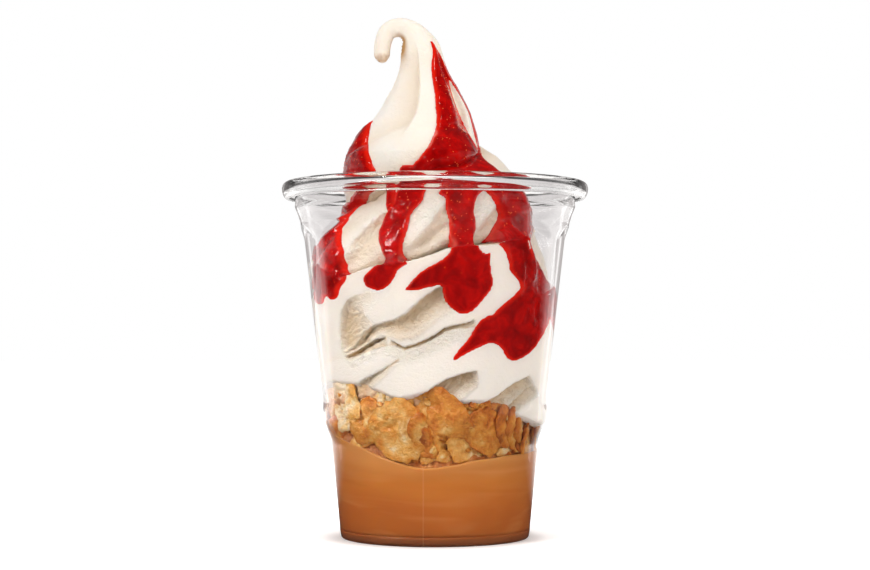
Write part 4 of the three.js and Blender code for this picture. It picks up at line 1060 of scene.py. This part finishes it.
def build_flakes():
    rng = np.random.default_rng(11)
    made = {"front": [[], [], [], [], 0], "rest": [[], [], [], [], 0]}

    def put(group, deg, z, depth, size, aspect, turn, lean, back, bend, toasted, thick=1.5):
        g = made[group]
        v, f, toast, tops = flake_mesh(rng, size, aspect, bend, thick, group == "front")
        ct, st = math.cos(turn * RAD), math.sin(turn * RAD)
        x, y, n = v[:, 0] * ct - v[:, 1] * st, v[:, 0] * st + v[:, 1] * ct, v[:, 2]
        # lean about the upright (y), then back about the level (x)
        cl, sl = math.cos(lean * RAD), math.sin(lean * RAD)
        x, n = x * cl + n * sl, -x * sl + n * cl
        cb, sb = math.cos(back * RAD), math.sin(back * RAD)
        y, n = y * cb - n * sb, y * sb + n * cb
        r0 = float(inside_radius(deg, z)) - depth - 0.5 * thick
        # wrap round the wall: across becomes angle
        rr = r0 + n
        ang = deg + np.degrees(x / max(r0, 10))
        zz = z + y
        room = inside_radius(wrap(ang), np.clip(zz, 20, 60)) + INTO_WALL * 0.4
        # flattens where it meets the wall, without losing all its bumps
        over = rr - (room - 0.5)
        rr = np.where(over > 0, room - 0.5 * np.exp(-over / 0.9), rr)
        g[0].append(np.stack([rr * np.sin(ang * RAD), -rr * np.cos(ang * RAD), zz], -1))
        g[1].extend(tuple(i + g[4] for i in q) for q in f)
        g[2].append(clamp(toasted + (toast - 0.55) * 0.55, 0, 1))
        g[3].append(tops)
        g[4] += len(v)

    for X, Z, size, aspect, turn, lean, back, bend, depth, toasted, thick in HERO:
        r = 33.5
        k = 1 - 32 / VIEW_DISTANCE
        deg = math.degrees(math.asin(max(-0.99, min(0.99, X * k / r))))
        z = VIEW_HEIGHT + (Z - VIEW_HEIGHT) * k
        put("front", deg, z, depth, size, aspect, turn, lean, back, bend, toasted, thick)
    # the rest of the layer, right round, and rows behind
    for layer, (n, depth) in enumerate(((32, 1.0), (34, 3.6), (26, 6.5))):
        for i in range(n):
            deg = -180 + 360 * (i + rng.uniform(0.1, 0.9)) / n
            if layer == 0 and -60 < deg < 58:
                continue
            lo, hi = float(caramel_top(deg)), float(ice_bottom(deg))
            z = mix(lo + 0.5, hi - 1.5, rng.uniform(0.1, 0.9))
            size = rng.uniform(11, 18)
            edge_on = rng.random() < 0.45
            pale = -0.3 * math.exp(-(((deg + 62) / 30) ** 2)) * smooth(0.4, 0.8, (z - lo) / (hi - lo))
            put("rest", deg, z, depth + rng.uniform(-0.4, 0.8), size, rng.uniform(0.55, 0.95), rng.uniform(-90, 90), rng.uniform(35, 50) * rng.choice([-1, 1]) if edge_on else rng.uniform(-25, 25), rng.uniform(-15, 15), rng.uniform(0.2, 0.7), rng.uniform(0.2, 0.75) + float(pale), rng.uniform(1.8, 2.8))
    # crumbs
    for i in range(90):
        deg = rng.uniform(-180, 180)
        lo, hi = float(caramel_top(deg)), float(ice_bottom(deg))
        z = rng.uniform(lo - 0.3, hi)
        put("rest", deg, z, rng.uniform(0.9, 2.4), rng.uniform(1.4, 3.4), rng.uniform(0.5, 0.9), rng.uniform(-90, 90), rng.uniform(-40, 40), rng.uniform(-30, 30), rng.uniform(0, 1), rng.uniform(0.15, 0.8), 0.9)

    m, nt, b = material("toasted_flake")
    f = field(nt, "shade")
    grain = math_node(nt, "MULTIPLY", math_node(nt, "SUBTRACT", noise_tex(nt, 300, 4.0, 0.65), 0.5), 0.8)
    # toastedness and grain, plus painted highlight and shade: bubble tops drawn paler and pits darker
    toast_and_hill_shade = math_node(nt, "ADD", math_node(nt, "ADD", f[0], grain), math_node(nt, "MULTIPLY", math_node(nt, "SUBTRACT", 0.5, f[1]), 0.62), True)
    c = ramp(nt, toast_and_hill_shade, [(0.0, lin(246, 220, 178)), (0.1, lin(244, 204, 142)), (0.28, lin(238, 180, 98)), (0.5, lin(228, 152, 60)), (0.75, lin(208, 118, 38)), (1.0, lin(156, 74, 20))])
    nt.links.new(c, b.inputs["Base Color"])
    b.inputs["Roughness"].default_value = 0.36
    b.inputs["Subsurface Weight"].default_value = 0.15
    b.inputs["Subsurface Radius"].default_value = (1.0, 0.5, 0.2)
    b.inputs["Subsurface Scale"].default_value = 0.002
    b.inputs["Coat Weight"].default_value = 0.3
    b.inputs["Coat Roughness"].default_value = 0.18
    h = math_node(nt, "ADD", noise_tex(nt, 800, 4.0, 0.65), math_node(nt, "MULTIPLY", noise_tex(nt, 300, 3.0), 1.5))
    bump(nt, b, h, 0.9, 0.0009)
    for group, name in (("front", "toasted_flakes_front"), ("rest", "toasted_flakes")):
        g = made[group]
        v = np.vstack(g[0])
        ob = new_object(name, v, g[1], replaces=("flakes",))
        tops = np.concatenate(g[3])
        # the second channel holds bubble height, for the painted highlight and shade
        add_field(ob, "shade", np.concatenate(g[2]), clamp(0.5 + 0.6 * tops, 0, 1), np.zeros(len(v)))
        ob.data.materials.append(m)

    # what shows between the crisps: crushed flakes, soaked in syrup below and in cream above
    cols = 240
    deg = (np.arange(cols) * 360 / cols - 180)[None, :]
    lo, hi = caramel_top(deg) - 2.5, ice_bottom(deg) + 1.2
    pts = []
    for t in np.linspace(0, 1, 56):
        z = mix(lo, hi, t)
        rr = inside_radius(deg, z) - 2.6 - 2.6 * np.abs(fbm(np.cos(deg * RAD) * 9, np.sin(deg * RAD) * 9, z * 0.3)) - 1.3 * noise(np.cos(deg * RAD) * 24, np.sin(deg * RAD) * 24, z * 0.8)
        # creamy slush pressed to the wall at the upper left
        slush = bell(wrap(deg), -58, 22) * smooth(0.42, 0.75, t)
        rr = rr + slush * 2.1 + 2.3 * (1 - smooth(0.06, 0.34, t))
        pts.append(np.stack([rr * np.sin(deg * RAD), -rr * np.cos(deg * RAD), np.broadcast_to(z, rr.shape)], -1)[0])
    verts, faces = closed_rings(np.stack(pts), [[0, 0, 25.0]], [[0, 0, 43.5]])
    core = new_object("crushed_flake_core", verts, faces, replaces=("flakes",))
    v = np.array(verts)
    ang = np.degrees(np.arctan2(v[:, 0], -v[:, 1]))
    rel = (v[:, 2] - caramel_top(ang)) / (ice_bottom(ang) - caramel_top(ang))
    creamy = clamp(smooth(0.55, 0.95, rel) * (0.35 + 0.8 * bell(ang, -60, 30)) + 0.3 * fbm(v[:, 0] * 0.4, v[:, 1] * 0.4, v[:, 2] * 0.4), 0, 1)
    add_field(core, "shade", creamy, np.zeros(len(v)), np.zeros(len(v)))
    m2, nt, b = material("crushed_flakes")
    f = field(nt, "shade")
    c = ramp(nt, noise_tex(nt, 260, 5.0, 0.65), [(0.3, lin(150, 78, 32)), (0.5, lin(196, 118, 56)), (0.68, lin(226, 160, 88))])
    c = mix_colour(nt, f[0], c, ramp(nt, noise_tex(nt, 180, 4.0), [(0.4, lin(234, 204, 164)), (0.65, lin(248, 230, 204))]))
    nt.links.new(c, b.inputs["Base Color"])
    b.inputs["Roughness"].default_value = 0.5
    b.inputs["Subsurface Weight"].default_value = 0.2
    b.inputs["Subsurface Radius"].default_value = (1.0, 0.6, 0.3)
    b.inputs["Subsurface Scale"].default_value = 0.002
    bump(nt, b, noise_tex(nt, 500, 4.0), 0.8, 0.0008)
    core.data.materials.append(m2)
    return core


# ================================================================ STAGE
WORLD_LIGHT = (0.50, 0.48, 0.462)


def build_stage():
    n = 24
    size = 3000.0
    xs = np.linspace(-size, size, n + 1)
    verts = [(x, y, 0.0) for y in xs for x in xs]
    faces = [(j * (n + 1) + i, j * (n + 1) + i + 1, (j + 1) * (n + 1) + i + 1, (j + 1) * (n + 1) + i) for j in range(n) for i in range(n)]
    floor = new_object("studio_floor", np.array(verts), faces, ride=False)
    m, nt, b = material("pale_floor")
    # the floor lights the cup but hardly mirrors in it, as on a small shooting table
    path = nt.nodes.new("ShaderNodeLightPath")
    once = math_node(nt, "LESS_THAN", path.outputs["Diffuse Depth"], 0.5)
    tc = nt.nodes.new("ShaderNodeTexCoord")
    place = nt.nodes.new("ShaderNodeSeparateXYZ")
    nt.links.new(tc.outputs["Object"], place.inputs[0])
    far = ramp(nt, place.outputs[1], [(0.06, (0, 0, 0)), (0.22, (1, 1, 1))])
    clean = math_node(nt, "LESS_THAN", path.outputs["Glossy Depth"], 0.5)
    open_ = math_node(nt, "MAXIMUM", clean, far)
    bounced = math_node(nt, "MULTIPLY", once, math_node(nt, "SUBTRACT", 1.0, open_))
    pale = ramp(nt, noise_tex(nt, 2.0, 2.0), [(0.3, (0.93, 0.93, 0.93)), (0.7, (0.95, 0.95, 0.95))])
    nt.links.new(mix_colour(nt, bounced, pale, (0.05, 0.05, 0.05)), b.inputs["Base Color"])
    b.inputs["Roughness"].default_value = 0.6
    b.inputs["Specular IOR Level"].default_value = 0.0
    ln = nt.nodes.new("ShaderNodeVectorMath")
    ln.operation = "LENGTH"
    nt.links.new(tc.outputs["Object"], ln.inputs[0])
    # painted contact shadow: the floor glows, and its glow drops to near black at the cup's foot and rises with
    # distance
    glow_and_painted_shadow = ramp(nt, ln.outputs["Value"], [(0.030, (0.05, 0.05, 0.05)), (0.033, (0.40, 0.40, 0.40)), (0.045, (0.58, 0.58, 0.58)), (0.09, (0.72, 0.72, 0.72)), (0.3, (0.85, 0.85, 0.85)), (1.0, (0.96, 0.96, 0.96))])
    looked = math_node(nt, "MULTIPLY", math_node(nt, "MULTIPLY", math_node(nt, "MAXIMUM", path.outputs["Is Transmission Ray"], path.outputs["Is Glossy Ray"]), once), open_)
    nt.links.new(mix_colour(nt, math_node(nt, "MAXIMUM", path.outputs["Is Camera Ray"], math_node(nt, "MULTIPLY", looked, 0.62)), (0.0, 0.0, 0.0), glow_and_painted_shadow), b.inputs["Emission Color"])
    b.inputs["Emission Strength"].default_value = 1.0
    floor.data.materials.append(m)

    scene = bpy.context.scene
    world = bpy.data.worlds.new("studio")
    world.use_nodes = True
    nt = world.node_tree
    nt.nodes.clear()
    out = nt.nodes.new("ShaderNodeOutputWorld")
    bg = nt.nodes.new("ShaderNodeBackground")
    nt.links.new(bg.outputs[0], out.inputs["Surface"])
    # a white cove: seen white, dimmer as a light, with dark flags at both sides that draw the plastic's edges
    tc = nt.nodes.new("ShaderNodeTexCoord")
    sep = nt.nodes.new("ShaderNodeSeparateXYZ")
    nt.links.new(tc.outputs["Generated"], sep.inputs[0])
    side = math_node(nt, "ABSOLUTE", sep.outputs[0])
    seen = ramp(nt, side, [(0.0, (0.84, 0.80, 0.795)), (0.42, (0.80, 0.76, 0.755)), (0.62, (0.66, 0.62, 0.61)), (0.85, (0.52, 0.485, 0.475)), (1.0, (0.48, 0.445, 0.435))])
    behind = math_node(nt, "ADD", math_node(nt, "MULTIPLY", sep.outputs[1], 0.5), 0.5)
    mirrored = ramp(nt, behind, [(0.0, (0.02, 0.02, 0.02)), (0.42, (0.03, 0.03, 0.03)), (0.62, (0.42, 0.385, 0.375)), (1.0, (0.58, 0.545, 0.535))])
    beside = ramp(nt, side, [(0.62, (0, 0, 0)), (0.9, (1, 1, 1))])
    mirrored = mix_colour(nt, math_node(nt, "MULTIPLY", beside, 0.4), mirrored, (0.55, 0.53, 0.52))
    above = ramp(nt, sep.outputs[2], [(0.12, (0, 0, 0)), (0.42, (1, 1, 1))])
    mirrored = mix_colour(nt, above, mirrored, (0.05, 0.05, 0.05))
    path = nt.nodes.new("ShaderNodeLightPath")
    once = math_node(nt, "LESS_THAN", path.outputs["Diffuse Depth"], 0.5)
    clean = math_node(nt, "LESS_THAN", path.outputs["Glossy Depth"], 0.5)
    look = math_node(nt, "MULTIPLY", math_node(nt, "MAXIMUM", path.outputs["Is Glossy Ray"], path.outputs["Is Transmission Ray"]), once)
    c = mix_colour(nt, look, WORLD_LIGHT, mirrored)
    inside = math_node(nt, "GREATER_THAN", path.outputs["Glossy Depth"], 1.5)
    c = mix_colour(nt, math_node(nt, "MULTIPLY", look, math_node(nt, "MAXIMUM", clean, inside)), c, seen)
    c = mix_colour(nt, path.outputs["Is Camera Ray"], c, (1.0, 1.0, 1.0))
    nt.links.new(c, bg.inputs["Color"])
    bg.inputs["Strength"].default_value = 1.0
    scene.world = world
    scene.view_settings.view_transform = "Standard"

    def area(name, place, aim, size, energy, colour=(1, 1, 1)):
        d = bpy.data.lights.new(name, "AREA")
        d.shape = "RECTANGLE"
        d.size, d.size_y = size
        d.energy = energy
        d.color = colour
        o = bpy.data.objects.new(name, d)
        o.location = Vector(place)
        o.rotation_euler = (Vector(aim) - Vector(place)).to_track_quat("-Z", "Y").to_euler()
        scene.collection.objects.link(o)
        return o

    key = area("key", (-0.58, -0.48, 0.50), (0, 0, 0.08), (0.26, 0.26), 2.75, (1.0, 0.968, 0.95))
    fill = area("fill_right", (0.60, -0.42, 0.24), (0, 0, 0.07), (0.4, 0.4), 2.4, (1.0, 0.97, 0.95))
    top = area("top", (0.02, 0.05, 0.75), (0, 0, 0.1), (0.45, 0.45), 1.1, (1.0, 0.97, 0.95))
    for o in (key, fill, top):
        o.visible_glossy = False
    # its square would show in the plastic's inner face
    fill.visible_transmission = False
    # what the gloss shows: a narrow window at the upper left, and tall cards beside and behind
    gleam = area("gleam", (-0.40, -0.50, 0.42), (0, 0, 0.10), (0.022, 0.13), 0.34)
    gleam_top = area("gleam_top", (0.05, -0.42, 0.68), (0, 0, 0.12), (0.09, 0.09), 0.34)
    gleams = [gleam, gleam_top]
    for name, turn, far, wide, z0, z1, watts in (
        ("card_left", -122, 0.17, 0.020, 0.002, 0.120, 0.003),
        ("card_right", 124, 0.17, 0.020, 0.002, 0.120, 0.0045),
        ("card_back_left", -150, 0.30, 0.022, 0.002, 0.16, 0.0045),
        ("card_back_right", 151, 0.30, 0.024, 0.002, 0.16, 0.006),
    ):
        x, y, mid = far * math.sin(turn * RAD), -far * math.cos(turn * RAD), (z0 + z1) / 2
        gleams.append(area(name, (x, y, mid), (0, 0, mid), (wide, z1 - z0), watts))
    for o in gleams:
        o.visible_diffuse = False
    for o in [key, fill, top] + gleams:
        o.visible_camera = False

    cam = bpy.data.cameras.new("camera")
    cam.sensor_width = 36.0
    cam.lens = 1912 / 870 * 36
    cam.clip_end = 50
    co = bpy.data.objects.new("camera", cam)
    co.location = (0, -VIEW_DISTANCE * MM, VIEW_HEIGHT * MM)
    co.rotation_euler = ((90 + 1.26) * RAD, 0, 0)
    scene.collection.objects.link(co)
    scene.camera = co


build_stage()
build_cup()
build_caramel()
build_flakes()
build_ice()
build_sauce()
